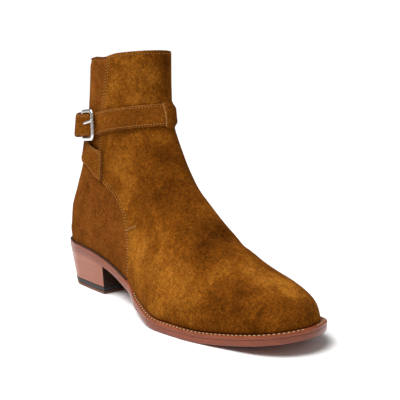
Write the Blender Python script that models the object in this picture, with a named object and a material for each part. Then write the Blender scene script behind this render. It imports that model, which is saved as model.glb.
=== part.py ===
"""A man's right jodhpur boot in suede: last-shaped upper, strap and buckle, welt, sole and stacked heel.

Lengths are in millimetres until solid() turns them into metres. "along" runs from the back of the heel
(0) to the toe tip (SOLE_LENGTH). In the scene the toe points to -Y, +X is the inner (medial) side of this
right boot, -X the outer (lateral) side, and Z = 0 is the floor.
"""

import bmesh
import bpy
import math
import numpy as np
from mathutils import Vector
from mathutils.bvhtree import BVHTree

MM = 0.001
GAP = 0.3
HEEL_AXIS_SIDE = 4.5

# Driving sizes
SOLE_LENGTH = 300.0
OUTSOLE_THICK = 5.0
WELT_THICK = 2.7
INSOLE_THICK = 3.0
WALL = 2.9
PANEL_STEP = 1.1
TOP_LIFT_THICK = 2.7
RUBBER_THICK = 3.7
STRAP_THICK = 1.9
CHAPE_THICK = 1.6
CHAPE_HALF = 9.1
KEEPER_WALL = 1.3
TUNNEL_RISE = 3.5
TUNNEL_MARGIN = 1.8
BUCKLE_HALF_HEIGHT = 12.0
BAR_CLEARANCE = 0.5
BUCKLE_CORNER = 3.6
BUCKLE_BAR_HALF = 1.4
PRONG_HALF_WIDTH = 1.3
PRONG_THICK = 1.4
PRONG_RISE = 3.0
SHAFT_AXIS_ALONG = 84.0

# Outline of the sole: half width, and how far the middle lies to the inner side of the heel's axis
SOLE_COLUMNS = ("share", "half", "middle")
SOLE_ROWS = (
    (0.00, 0.0, 0.0),
    (0.02, 18.5, 0.0),
    (0.06, 28.0, 0.0),
    (0.12, 32.0, -0.3),
    (0.20, 32.3, -0.8),
    (0.30, 31.0, -1.8),
    (0.40, 32.0, -3.6),
    (0.50, 41.0, -6.4),
    (0.60, 48.3, -6.6),
    (0.70, 49.0, -3.3),
    (0.78, 46.6, -0.2),
    (0.86, 42.2, 2.4),
    (0.92, 35.8, 2.6),
    (0.97, 25.0, 3.0),
    (1.00, 0.0, 3.0),
)

# Underside of the outsole: height over the floor, and how far the upper's feather line lies inside the edge
LIFT_COLUMNS = ("share", "height", "feather_inset")
LIFT_ROWS = (
    (0.00, 33.5, 1.2),
    (0.10, 32.6, 1.2),
    (0.20, 30.4, 1.2),
    (0.30, 24.0, 1.3),
    (0.40, 14.6, 2.0),
    (0.50, 6.6, 3.4),
    (0.57, 2.0, 4.4),
    (0.62, 0.0, 4.8),
    (0.74, 0.0, 5.0),
    (0.81, 1.8, 5.0),
    (0.90, 6.1, 5.0),
    (1.00, 12.0, 5.2),
)

# The upper's sections. Each leans from the feather line (station -1 at the toe, 0 at the back of the heel)
# or from the back line (0 to 1 at the collar) up to the ridge over the instep and the shin.
RIDGE_COLUMNS = ("station", "along", "height", "side", "widest", "roundness")
RIDGE_ROWS = (
    (-1.00, 293.4, 26.0, 3.0, 0.40, 2.0),
    (-0.97, 289.2, 32.3, 3.0, 0.36, 2.3),
    (-0.93, 279.2, 37.8, 3.2, 0.32, 2.35),
    (-0.87, 262.2, 43.2, 3.5, 0.28, 2.3),
    (-0.78, 239.0, 50.2, 4.0, 0.25, 2.2),
    (-0.68, 214.3, 61.5, 5.0, 0.22, 2.1),
    (-0.58, 194.2, 77.2, 6.0, 0.20, 1.95),
    (-0.48, 176.6, 94.3, 6.0, 0.19, 1.9),
    (-0.38, 161.4, 109.4, 5.0, 0.18, 1.9),
    (-0.28, 151.0, 124.2, 4.0, 0.19, 1.95),
    (-0.18, 144.6, 137.0, 3.0, 0.22, 2.0),
    (-0.08, 140.0, 147.6, 2.0, 0.26, 2.05),
    (0.00, 136.6, 155.0, 1.5, 0.29, 2.1),
    (0.25, 132.0, 170.1, 1.0, 0.36, 2.15),
    (0.50, 129.2, 185.5, 0.5, 0.42, 2.15),
    (0.75, 127.4, 201.0, 0.0, 0.46, 2.15),
    (1.00, 126.4, 217.5, 0.0, 0.48, 2.15),
)

# How far a section swells past the feather line in front, and its half widths in the quarters and shaft
SWELL_COLUMNS = ("station", "outer", "inner")
SWELL_ROWS = (
    (-1.00, 0.0, 0.0),
    (-0.97, 0.6, 0.6),
    (-0.87, 1.4, 1.2),
    (-0.68, 2.6, 2.0),
    (-0.48, 3.0, 3.0),
    (-0.30, 3.0, 3.0),
)
BODY_COLUMNS = ("station", "outer", "inner")
BODY_ROWS = (
    (-0.48, 33.5, 32.0),
    (-0.38, 33.5, 32.0),
    (-0.28, 33.8, 32.7),
    (-0.18, 33.8, 33.0),
    (0.00, 33.2, 32.5),
    (0.22, 31.4, 31.4),
    (0.50, 30.9, 30.9),
    (1.00, 31.0, 31.0),
)
SWELL_ENDS = -0.46
BODY_BEGINS = -0.30
LOWER_TURN = 0.36

# Back line of the upper from the heel's feather to the collar
BACK_COLUMNS = ("station", "along", "height")
BACK_ROWS = (
    (0.00, 1.2, 41.8),
    (0.12, 0.4, 58.0),
    (0.25, 8.2, 78.0),
    (0.40, 19.0, 102.0),
    (0.55, 26.8, 126.0),
    (0.70, 32.0, 152.0),
    (0.85, 36.1, 180.0),
    (1.00, 39.0, 210.0),
)

# Rear edge of the front panel, seen from the side
SEAM_COLUMNS = ("height", "along")
SEAM_ROWS = (
    (0.0, 122.5),
    (35.0, 121.5),
    (50.0, 119.6),
    (62.0, 117.3),
    (73.0, 113.4),
    (84.0, 107.0),
    (93.0, 98.5),
    (99.0, 88.0),
    (104.0, 79.5),
    (112.0, 75.0),
    (125.0, 74.6),
    (148.0, 77.3),
    (171.0, 82.5),
    (193.0, 87.2),
    (206.0, 89.8),
    (225.0, 94.0),
)

# Straps round the shaft. The turn is 0 degrees at the shin, 90 on the outer side, 180 at the back. The
# height is the strap's middle, half its half width, and the lift its standing off the front panel's face.
STRAP_COLUMNS = ("turn", "height", "half", "lift")
ANKLE_STRAP_ROWS = (
    (-8.0, 165.2, 9.0, 0.45),
    (0.0, 165.0, 9.0, 0.45),
    (40.0, 162.1, 9.3, 0.45),
    (75.0, 159.2, 9.4, 0.4),
    (95.0, 157.0, 9.5, 0.4),
    (106.0, 155.7, 9.6, 0.5),
    (112.5, 154.9, 9.6, 0.8),
    (118.0, 154.3, 9.6, 2.7),
    (128.0, 153.6, 9.5, 6.8),
    (134.5, 153.2, 9.5, 8.8),
    (140.5, 152.9, 9.5, 8.4),
    (148.0, 152.7, 9.5, 6.4),
    (165.0, 152.8, 9.5, 5.0),
    (180.0, 153.1, 9.5, 4.4),
    (192.0, 153.4, 9.5, 4.2),
    (198.0, 153.5, 6.4, 4.2),
)
BACK_STRAP_ROWS = (
    (97.0, 118.5, 13.2, 0.3),
    (104.0, 119.0, 13.1, 0.3),
    (112.0, 120.6, 12.6, 0.0),
    (122.0, 123.6, 11.9, -0.45),
    (132.0, 128.0, 11.3, -0.7),
    (150.0, 132.4, 10.8, -0.7),
    (180.0, 145.5, 11.0, -0.6),
    (210.0, 157.0, 11.0, -0.5),
    (240.0, 162.2, 11.0, -0.5),
    (258.0, 163.3, 11.0, 0.1),
    (273.0, 163.4, 11.0, 0.3),
)
CHAPE_ROWS = (
    (137.6, 152.9, CHAPE_HALF, 0.7),
    (143.5, 152.8, CHAPE_HALF, 2.2),
    (148.0, 152.7, CHAPE_HALF, 3.5),
    (160.0, 152.8, CHAPE_HALF, 2.7),
    (176.0, 153.1, CHAPE_HALF, 2.3),
    (200.0, 154.0, CHAPE_HALF, 2.2),
    (222.0, 156.0, CHAPE_HALF, 2.2),
)
TUNNEL_ROWS = (
    (-93.0, 163.4, 11.0, 0.0),
    (-60.0, 163.5, 10.4, 0.0),
    (-30.0, 164.0, 9.6, 0.0),
    (1.5, 164.4, 9.0, 0.0),
)

# The two upright bars of the buckle, each by its turn, its lift and its middle's height
FRONT_BAR = (106.8, 5.1, 154.9)
REAR_BAR = (137.6, 4.1, 152.9)

# Sides of the heel: how far each level lies inside the outline, at the back and along the sides
HEEL_COLUMNS = ("height", "back_inset", "side_inset", "breast")
HEEL_ROWS = (
    (0.0, 8.0, 4.0, 76.0),
    (34.0, 0.9, 0.9, 78.5),
)


def column(rows, names, name):
    return np.array([row[names.index(name)] for row in rows], float)


def smooth(knots, values, at):
    """Monotone cubic through the knots, flat beyond them."""
    at = np.clip(np.asarray(at, float), knots[0], knots[-1])
    step = np.diff(knots)
    rise = np.diff(values) / step
    slope = np.empty(len(knots))
    slope[0], slope[-1] = rise[0], rise[-1]
    before, after = rise[:-1], rise[1:]
    same_way = before * after > 0
    safe_before = np.where(same_way, before, 1.0)
    safe_after = np.where(same_way, after, 1.0)
    near = 2 * step[1:] + step[:-1]
    far = step[1:] + 2 * step[:-1]
    slope[1:-1] = np.where(same_way, (near + far) / (near / safe_before + far / safe_after), 0.0)
    k = np.clip(np.searchsorted(knots, at, side="right") - 1, 0, len(step) - 1)
    t = (at - knots[k]) / step[k]
    return (
        values[k] * (1 + 2 * t) * (1 - t) ** 2
        + slope[k] * step[k] * t * (1 - t) ** 2
        + values[k + 1] * t * t * (3 - 2 * t)
        + slope[k + 1] * step[k] * t * t * (t - 1)
    )


def table(rows, names, name, at):
    return smooth(column(rows, names, names[0]), column(rows, names, name), at)


def ease(t):
    t = np.clip(t, 0.0, 1.0)
    return t * t * (3 - 2 * t)


def to_row(side, along, height):
    """Side, along and height as row positions, toe to -Y."""
    side, along, height = np.broadcast_arrays(side, along, height)
    return np.stack([side + HEEL_AXIS_SIDE, SOLE_LENGTH / 2 - along, height], axis=-1)


def half_width(along):
    squares = column(SOLE_ROWS, SOLE_COLUMNS, "half") ** 2
    shares = column(SOLE_ROWS, SOLE_COLUMNS, "share")
    return np.sqrt(np.maximum(smooth(shares, squares, along / SOLE_LENGTH), 0.0))


def middle(along):
    return table(SOLE_ROWS, SOLE_COLUMNS, "middle", along / SOLE_LENGTH)


def underside(along):
    return table(LIFT_ROWS, LIFT_COLUMNS, "height", np.asarray(along, float) / SOLE_LENGTH)


def outsole_top(along):
    return underside(along) + OUTSOLE_THICK


def welt_top(along):
    return outsole_top(along) + GAP + WELT_THICK


def feather_height(along):
    return welt_top(along) + GAP


def feather_inset(along):
    return table(LIFT_ROWS, LIFT_COLUMNS, "feather_inset", np.asarray(along, float) / SOLE_LENGTH)


def inside_wall(along):
    return feather_inset(along) + WALL


def stations(count, reach=SOLE_LENGTH):
    """Places from the heel's back to reach, closer together at a round end."""
    if reach == SOLE_LENGTH:
        return reach * (1 - np.cos(np.linspace(0.0, math.pi, count + 1))) / 2
    return reach * (1 - np.cos(np.linspace(0.0, math.pi / 2, count + 1)))


def edges(along, inset):
    """The outer and inner edge of the sole as (side, along) rows, moved inwards by inset."""
    pair = []
    for sign in (-1.0, 1.0):
        fine = stations(900)
        path = np.stack([middle(fine) + sign * half_width(fine), fine], axis=1)
        tangent = np.gradient(path, axis=0)
        tangent /= np.linalg.norm(tangent, axis=1)[:, None]
        tangent[0] = (sign, 0.0)
        tangent[-1] = (-sign, 0.0)
        across = np.interp(along, fine, tangent[:, 0]), np.interp(along, fine, tangent[:, 1])
        here = np.stack([middle(along) + sign * half_width(along), along], axis=1)
        inward = np.stack([-across[1] * sign, across[0] * sign], axis=1)
        inward /= np.linalg.norm(inward, axis=1)[:, None]
        depth = inset(along) if callable(inset) else np.full(len(along), float(inset))
        pair.append(here + inward * depth[:, None])
    return pair


def loop_of(pair, height):
    """Closed path up the outer edge and back down the inner one, with its heights."""
    outer, inner = pair
    flat = np.concatenate([outer, inner[::-1]])
    return to_row(flat[:, 0], flat[:, 1], height(flat[:, 1]) if callable(height) else height)


def principled(name, color, rough, metal=0.0):
    material = bpy.data.materials.new(name)
    material.use_nodes = True
    shader = material.node_tree.nodes["Principled BSDF"]
    shader.inputs["Base Color"].default_value = (*color, 1.0)
    shader.inputs["Roughness"].default_value = rough
    shader.inputs["Metallic"].default_value = metal
    material.diffuse_color = (*color, 1.0)
    return material


def solid(name, points, faces, material=None, sharp=35.0, merge=0.01):
    """One closed mesh object from millimetre points and faces."""
    mesh = bpy.data.meshes.new(name)
    form = bmesh.new()
    made = [form.verts.new(Vector(point) * MM) for point in points]
    for face in faces:
        corners = []
        for index in face:
            if made[index] not in corners:
                corners.append(made[index])
        if len(corners) > 2:
            form.faces.new(corners)
    bmesh.ops.remove_doubles(form, verts=form.verts, dist=merge * MM)
    bmesh.ops.dissolve_degenerate(form, edges=form.edges, dist=merge * MM)
    bmesh.ops.recalc_face_normals(form, faces=form.faces)
    if form.calc_volume(signed=True) < 0:
        bmesh.ops.reverse_faces(form, faces=form.faces)
    bmesh.ops.triangulate(form, faces=form.faces, quad_method="FIXED")
    form.to_mesh(mesh)
    form.free()
    item = bpy.data.objects.new(name, mesh)
    bpy.context.scene.collection.objects.link(item)
    if material:
        mesh.materials.append(material)
    round_off(item, sharp)
    return item


def round_off(item, sharp=35.0):
    for face in item.data.polygons:
        face.use_smooth = True
    item.data.set_sharp_from_angle(angle=math.radians(sharp))


def strips(rows, columns, close_rows=False, close_columns=False, start=0):
    """Quads between rows of a point grid."""
    faces = []
    for i in range(rows if close_rows else rows - 1):
        for j in range(columns if close_columns else columns - 1):
            here, above = start + i * columns, start + (i + 1) % rows * columns
            k = (j + 1) % columns
            faces.append((here + j, here + k, above + k, above + j))
    return faces


def rung_cap(first, size):
    """Quads across a loop, joining each point to the one at the same place on the other edge."""
    half = size // 2
    return [(first + i, first + i + 1, first + size - 2 - i, first + size - 1 - i) for i in range(half - 1)]


def plate(name, loops, material, sharp=35.0):
    """A solid between closed loops stacked from bottom to top."""
    size = len(loops[0])
    faces = strips(len(loops), size, close_columns=True)
    faces += rung_cap(0, size) + rung_cap((len(loops) - 1) * size, size)
    return solid(name, np.concatenate(loops), faces, material, sharp)


def ring(name, loops, material, sharp=35.0):
    """A frame-like solid whose cross-section is the closed run of loops."""
    size = len(loops[0])
    faces = strips(len(loops), size, close_rows=True, close_columns=True)
    return solid(name, np.concatenate(loops), faces, material, sharp)


def heel_loop(height):
    """The heel's two edges at a height, ending in a straight breast."""
    read = lambda name: float(table(HEEL_ROWS, HEEL_COLUMNS, name, height))
    along = stations(26, read("breast"))
    share = ease(along / 34.0)
    inset = read("back_inset") * (1 - share) + read("side_inset") * share
    pair = edges(along, lambda at: inset)
    for edge in pair:
        edge[-1, 1] = read("breast")
    return pair


def heel_layer(name, low, high, material):
    """One layer of the heel between two heights. Without a high one its top follows the outsole."""
    top = loop_of(heel_loop(high), high) if high else loop_of(heel_loop(34.0), lambda at: underside(at) - GAP)
    return plate(name, [loop_of(heel_loop(low), low), top], material)


def feather_lines():
    """Dense outer and inner feather lines with their shares of length, heel to toe."""
    lines = []
    for edge in edges(stations(400), feather_inset):
        length = np.concatenate([[0.0], np.cumsum(np.linalg.norm(np.diff(edge, axis=0), axis=1))])
        lines.append((length / length[-1], edge))
    return lines


def feather_foot(lines, which, station):
    shares, edge = lines[which]
    side = float(np.interp(-station, shares, edge[:, 0]))
    along = float(np.interp(-station, shares, edge[:, 1]))
    return side, along, float(feather_height(along))


def section(lines, station, turns):
    """Side, along and height of one leaning section, from the outer foot over the ridge to the inner foot."""
    ridge = [float(table(RIDGE_ROWS, RIDGE_COLUMNS, name, station)) for name in ("side", "along", "height")]
    widest = float(table(RIDGE_ROWS, RIDGE_COLUMNS, "widest", station))
    power = 2.0 / float(table(RIDGE_ROWS, RIDGE_COLUMNS, "roundness", station))
    back = [float(table(BACK_ROWS, BACK_COLUMNS, name, station)) for name in ("along", "height")]
    body_share = float(ease((station - SWELL_ENDS) / (BODY_BEGINS - SWELL_ENDS)))
    points = np.empty((len(turns), 3))
    for which, name, sign in ((0, "outer", -1.0), (1, "inner", 1.0)):
        foot = feather_foot(lines, which, station) if station < 0 else (0.0, *back)
        swell = foot[0] + sign * float(table(SWELL_ROWS, SWELL_COLUMNS, name, station))
        body = sign * float(table(BODY_ROWS, BODY_COLUMNS, name, station))
        wide = (1 - body_share) * swell + body_share * body
        closing = min(1.0, max(0.0, (abs(wide) - abs(foot[0])) / abs(wide))) if body_share > 0 else 0.0
        mine = turns <= 0.5 if which == 0 else turns > 0.5
        up = 2 * (turns[mine] if which == 0 else 1 - turns[mine])
        low = np.clip(up / LOWER_TURN, 0.0, 1.0)
        high = np.clip((up - LOWER_TURN) / (1 - LOWER_TURN), 0.0, 1.0) * math.pi / 2
        out = (1 - closing) * (1 - (1 - low) ** 2) + closing * np.sin(low * math.pi / 2)
        rise = (1 - closing) * low + closing * (1 - np.cos(low * math.pi / 2))
        in_low = up <= LOWER_TURN
        side = np.where(
            in_low, foot[0] + (wide - foot[0]) * out, ridge[0] + (wide - ridge[0]) * np.cos(high) ** power
        )
        climb = np.where(in_low, widest * rise, widest + (1 - widest) * np.sin(high) ** power)
        points[mine, 0] = side
        points[mine, 1] = foot[1] + (ridge[1] - foot[1]) * climb
        points[mine, 2] = foot[2] + (ridge[2] - foot[2]) * climb
    return points


def outer_grid(station_list, turns):
    lines = feather_lines()
    rows = [section(lines, station, turns) for station in station_list]
    grid = np.stack(rows)
    return to_row(grid[..., 0], grid[..., 1], grid[..., 2])


def grid_normals(grid, closed_from):
    """Outward normals by differences along and across the grid."""
    along = np.gradient(grid, axis=0)
    across = np.gradient(grid, axis=1)
    joined = grid[closed_from:]
    across[closed_from:, 0] = joined[:, 1] - joined[:, -2]
    across[closed_from:, -1] = across[closed_from:, 0]
    normal = np.cross(across, along)
    length = np.linalg.norm(normal, axis=2, keepdims=True)
    return normal / np.maximum(length, 1e-9)


def upper_sheets(station_list, turns, depth):
    """The upper's outer grid and the same grid set inwards by depth, its feet kept on the feather line."""
    outer = outer_grid(station_list, turns)
    closed_from = int(np.searchsorted(station_list, 0.0))
    normals = grid_normals(outer, closed_from)
    normals[0] = (0.0, -1.0, 0.0)
    inner = outer - normals * depth
    lines = feather_lines()
    for which, j in ((0, 0), (1, -1)):
        edge = edges(stations(400), lambda at: feather_inset(at) + depth)[which]
        side = np.interp(-station_list[: closed_from + 1], lines[which][0], edge[:, 0])
        along = np.interp(-station_list[: closed_from + 1], lines[which][0], edge[:, 1])
        inner[: closed_from + 1, j] = to_row(side, along, feather_height(along))
    return outer, inner, closed_from


def upper_shell(station_list, turns):
    """The hollow upper: outer sheet, inner sheet, the rim on the welt and the rim of the collar."""
    outer, inner, closed_from = upper_sheets(station_list, turns, WALL)
    rows, columns = outer.shape[:2]
    base = rows * columns
    faces = strips(rows, columns)
    faces += [face[::-1] for face in strips(rows, columns, start=base)]
    for j in (0, columns - 1):
        for i in range(closed_from):
            here, following = i * columns + j, (i + 1) * columns + j
            faces.append((here, following, base + following, base + here))
    for j in range(columns - 1):
        here = (rows - 1) * columns + j
        faces.append((here, here + 1, base + here + 1, base + here))
    return solid("upper", np.concatenate([outer.reshape(-1, 3), inner.reshape(-1, 3)]), faces, SUEDE, sharp=40.0)


def lower_form(station_list, turns):
    """The closed form under the front panel's overlap, running past the feather and the collar."""
    _, form, closed_from = upper_sheets(station_list, turns, PANEL_STEP)
    form[: closed_from + 1, [0, -1], 2] -= 3.0
    form[-1, :, 2] += 4.0
    rows, columns = form.shape[:2]
    faces = strips(rows, columns)
    for i in range(closed_from):
        faces.append((i * columns, (i + 1) * columns, (i + 2) * columns - 1, (i + 1) * columns - 1))
    last = (rows - 1) * columns
    for j in range(columns // 2):
        faces.append((last + j, last + j + 1, last + columns - 2 - j, last + columns - 1 - j))
    return solid("guide_lower_form", form.reshape(-1, 3), faces)


def quarter_block():
    """Everything behind the front panel's rear edge, as a block across the boot."""
    heights = np.linspace(SEAM_ROWS[0][0], SEAM_ROWS[-1][0], 44)
    seam = table(SEAM_ROWS, SEAM_COLUMNS, "along", heights)
    back = np.full(len(heights), -40.0)
    loops = []
    for side in (-90.0, 90.0):
        profile = np.concatenate([to_row(side, seam, heights), to_row(side, back, heights)[::-1]])
        loops.append(profile)
    return plate("cutter_quarter", loops, None)


def guide(item):
    item.hide_render = True
    item.hide_set(True)
    item.display_type = "WIRE"
    return item


def boolean(item, other, operation):
    cut = item.modifiers.new(other.name, "BOOLEAN")
    cut.operation = operation
    cut.solver = "EXACT"
    cut.object = other
    guide(other)


class Shaft:
    """Points and directions round the shaft's outer form, by turn and height."""

    def __init__(self, grid):
        rows, columns = grid.shape[:2]
        self.tree = BVHTree.FromPolygons(
            [Vector(point) for point in grid.reshape(-1, 3)], strips(rows, columns), all_triangles=False
        )

    def hit(self, turn, height):
        angle = math.radians(turn)
        start = Vector(to_row(0.0, SHAFT_AXIS_ALONG, height))
        return np.array(self.tree.ray_cast(start, Vector((-math.sin(angle), -math.cos(angle), 0.0)))[0])

    def path(self, turns, heights, lifts):
        """A run round the shaft at the given lifts, with its outward directions."""
        face = np.array([self.hit(turn, height) for turn, height in zip(turns, heights)])
        raised = face + outward(face) * np.asarray(lifts)[:, None]
        return raised, outward(raised)

    def at(self, turn, height, lift):
        near = np.array([turn - 3.0, turn, turn + 3.0])
        return self.path(near, np.full(3, height), np.full(3, lift))[0][1]


def outward(path):
    """Level directions square to a run round the shaft, away from it."""
    tangent = np.gradient(path, axis=0)
    square = np.stack([tangent[:, 1], -tangent[:, 0], np.zeros(len(path))], axis=1)
    for _ in range(2):
        square[1:-1] = (square[:-2] + 2 * square[1:-1] + square[2:]) / 4
    square /= np.linalg.norm(square, axis=1, keepdims=True)
    middle_point = path.mean(axis=0)
    axis = to_row(0.0, SHAFT_AXIS_ALONG, 0.0)
    away = ((path - axis) * square)[:, :2].sum()
    return square if away > 0 else -square


def band_solid(name, inner, outer_face, material, sharp=35.0):
    """A closed band from its inner and outer faces, each a grid of runs by places."""
    loops = [np.concatenate([inner[:, k], outer_face[::-1, k]]) for k in range(inner.shape[1])]
    return plate(name, loops, material, sharp)


def band(name, shaft, rows, thick, material, start=None, end=None, margin=0.0, bevel=0.0, under=0.0, step=3.5):
    """A strap that follows its table of turns, from under its face to thick above it."""
    start = rows[0][0] if start is None else start
    end = rows[-1][0] if end is None else end
    even = np.arange(math.ceil(start / step), math.floor(end / step) + 1) * step
    turns = np.unique(np.concatenate([[start], even[(even > start + 0.6) & (even < end - 0.6)], [end]]))
    read = lambda name: table(rows, STRAP_COLUMNS, name, turns)
    inner, outer_face = [], []
    for u in (-1.0, 0.0, 1.0):
        half = read("half") + margin
        face, away = shaft.path(turns, read("height") + half * u, read("lift"))
        narrow = shaft.path(turns, read("height") + (half - bevel) * u, read("lift"))[0] if bevel else face
        inner.append(face - away * under)
        outer_face.append(narrow + away * thick)
    return band_solid(name, np.array(inner), np.array(outer_face), material)


class Bar:
    """The middle of an upright bar of the buckle and the direction up it."""

    def __init__(self, shaft, place):
        turn, lift, middle_height = place
        ends = [shaft.at(turn, middle_height + sign * 11.0, lift) for sign in (-1.0, 1.0)]
        self.rise = (ends[1] - ends[0]) / np.linalg.norm(ends[1] - ends[0])
        self.middle = (ends[0] + ends[1]) / 2


def buckle_axes(shaft):
    """Middle of the rear bar, the directions to the front bar, up the bars and outwards, and the length."""
    rear, front = Bar(shaft, REAR_BAR), Bar(shaft, FRONT_BAR)
    forward = front.middle - rear.middle
    length = np.linalg.norm(forward)
    forward /= length
    rise = rear.rise + front.rise
    rise -= forward * (rise @ forward)
    rise /= np.linalg.norm(rise)
    out = np.cross(rise, forward)
    if out @ (rear.middle - to_row(0.0, SHAFT_AXIS_ALONG, rear.middle[2])) < 0:
        out = -out
    return rear.middle, forward, rise, out, length


def octagon(half_out, half_in, corner=0.62):
    """A bar's cross-section as (out, in-plane) pairs with cut corners."""
    a, b, c = half_out, half_in, corner
    return ((a, b - c), (a - c, b), (-a + c, b), (-a, b - c), (-a, -b + c), (-a + c, -b), (a - c, -b), (a, -b + c))


def buckle_frame(axes):
    """A rounded rectangle of bar, its rear and front sides on the two bars."""
    start, forward, rise, out, length = axes
    corners = (
        (length - BUCKLE_CORNER, BUCKLE_HALF_HEIGHT - BUCKLE_CORNER, 0.0),
        (BUCKLE_CORNER, BUCKLE_HALF_HEIGHT - BUCKLE_CORNER, 90.0),
        (BUCKLE_CORNER, BUCKLE_CORNER - BUCKLE_HALF_HEIGHT, 180.0),
        (length - BUCKLE_CORNER, BUCKLE_CORNER - BUCKLE_HALF_HEIGHT, 270.0),
    )
    loops = []
    for across, up, first in corners:
        for angle in np.radians(np.linspace(first, first + 90.0, 5)):
            turned = forward * math.cos(angle) + rise * math.sin(angle)
            place = start + forward * across + rise * up + turned * BUCKLE_CORNER
            section_points = octagon(BUCKLE_BAR_HALF, BUCKLE_BAR_HALF)
            loops.append([place + out * high + turned * wide for high, wide in section_points])
    return ring("buckle_frame", np.array(loops), STEEL, sharp=50.0)


def prong_path(length):
    """Places of the prong's middle as (forward, out): a coil round the rear bar, then the tongue."""
    radius = BUCKLE_BAR_HALF + BAR_CLEARANCE + PRONG_THICK / 2
    coil = [(radius * math.sin(math.radians(a)), radius * math.cos(math.radians(a))) for a in range(-215, 1, 24)]
    rest = BUCKLE_BAR_HALF + GAP + PRONG_THICK / 2 + 0.1
    return np.array(
        coil
        + [
            (3.0, radius + 0.15),
            (6.5, radius + 0.5),
            (10.5, radius + 0.8),
            (15.0, radius + 0.7),
            (length - 2.0, rest + 0.1),
            (length + 1.6, rest),
            (length + 3.2, rest - 0.2),
        ]
    )


def prong(name, axes, swell, material):
    start, forward, rise, out, length = axes
    path = prong_path(length)
    tangent = np.gradient(path, axis=0)
    tangent /= np.linalg.norm(tangent, axis=1)[:, None]
    across = np.stack([-tangent[:, 1], tangent[:, 0]], axis=1)
    thick, wide = PRONG_THICK / 2 + swell, PRONG_HALF_WIDTH + swell
    loops = []
    for k, place in enumerate(path):
        slim = 0.7 if k == len(path) - 1 and not swell else 1.0
        for_out = octagon(thick * slim, wide * slim, 0.35)
        middle_point = start + forward * place[0] + out * place[1] + rise * (PRONG_RISE * max(0.0, place[0]) / length)
        side = forward * across[k, 0] + out * across[k, 1]
        loops.append(np.array([middle_point + side * high + rise * level for high, level in for_out]))
    return plate(name, loops, material)


def slot_block(name, axes, reach, half):
    """A box round the rear bar's middle, for the prong's slot in the folded leather."""
    start, forward, rise, out, _ = axes
    loops = []
    for level in (-half, half):
        corners = ((-reach, -6.5), (reach, -6.5), (reach, 6.5), (-reach, 6.5))
        loops.append(np.array([start + forward * a + out * b + rise * level for a, b in corners]))
    return plate(name, loops, None)


def chape(shaft, axes):
    """The buckle's leather: from the outer layer round the rear bar, then back round the shaft under it."""
    start, forward, rise, out, _ = axes
    radius = BUCKLE_BAR_HALF + BAR_CLEARANCE
    turns = np.linspace(CHAPE_ROWS[0][0] + 3.0, CHAPE_ROWS[-1][0], 24)
    read = lambda name: table(CHAPE_ROWS, STRAP_COLUMNS, name, turns)
    inner, outer_face = [], []
    for u in (-1.0, 1.0):
        face, away = shaft.path(turns, read("height") + read("half") * u, read("lift"))
        middle_point = start + rise * (CHAPE_HALF * u + CHAPE_ROWS[0][1] - start[2])
        bends = [math.radians(angle) for angle in range(0, 181, 20)]
        reach = lambda r: [middle_point + (out * math.cos(a) + forward * math.sin(a)) * r for a in bends]
        near, far = reach(radius), reach(radius + CHAPE_THICK)
        lap_near = [middle_point - forward * d + out * (radius - drop) for d, drop in ((5.0, 1.7), (2.6, 0.65))]
        lap_far = [point + out * CHAPE_THICK for point in lap_near]
        inner.append(lap_near + near + list(face + away * CHAPE_THICK))
        outer_face.append(lap_far + far + list(face))
    return band_solid("buckle_chape", np.array(inner), np.array(outer_face), STRAP_SUEDE)


def keeper(shaft):
    """A leather loop round the chape and the strap behind the buckle."""
    loops = []
    for turn in (146.5, 149.0, 151.5):
        read = lambda rows, name: float(table(rows, STRAP_COLUMNS, name, turn))
        low = read(CHAPE_ROWS, "lift") - GAP
        high = read(ANKLE_STRAP_ROWS, "lift") + STRAP_THICK + 2 * GAP
        centre, half = read(ANKLE_STRAP_ROWS, "height"), read(ANKLE_STRAP_ROWS, "half") + GAP
        frames = []
        for wall in (0.0, KEEPER_WALL):
            levels = ((-1, low - wall), (0, low - wall), (1, low - wall), (1, high + wall), (0, high + wall))
            levels += ((-1, high + wall),)
            frames.append([shaft.at(turn, centre + u * (half + wall), lift) for u, lift in levels])
        loops.append(frames)
    order = [loops[0][0], loops[0][1], loops[1][1], loops[2][1], loops[2][0], loops[1][0]]
    return ring("keeper_loop", np.array(order), STRAP_SUEDE)


for item in list(bpy.data.objects):
    bpy.data.objects.remove(item, do_unlink=True)

SUEDE = principled("suede_tan", (0.28, 0.13, 0.035), 0.9)
STRAP_SUEDE = principled("suede_strap", (0.27, 0.12, 0.035), 0.88)
WELT_LEATHER = principled("leather_welt", (0.22, 0.07, 0.025), 0.5)
SOLE_LEATHER = principled("leather_sole", (0.3, 0.09, 0.03), 0.4)
HEEL_LEATHER = principled("leather_heel", (0.3, 0.1, 0.05), 0.3)
RUBBER = principled("rubber_dark", (0.035, 0.03, 0.03), 0.6)
LINING = principled("leather_lining", (0.5, 0.34, 0.2), 0.7)
STEEL = principled("steel_polished", (0.8, 0.8, 0.78), 0.2, 1.0)

PLACES = stations(42)


def level(inset, height):
    return loop_of(edges(PLACES, inset), height)


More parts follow.
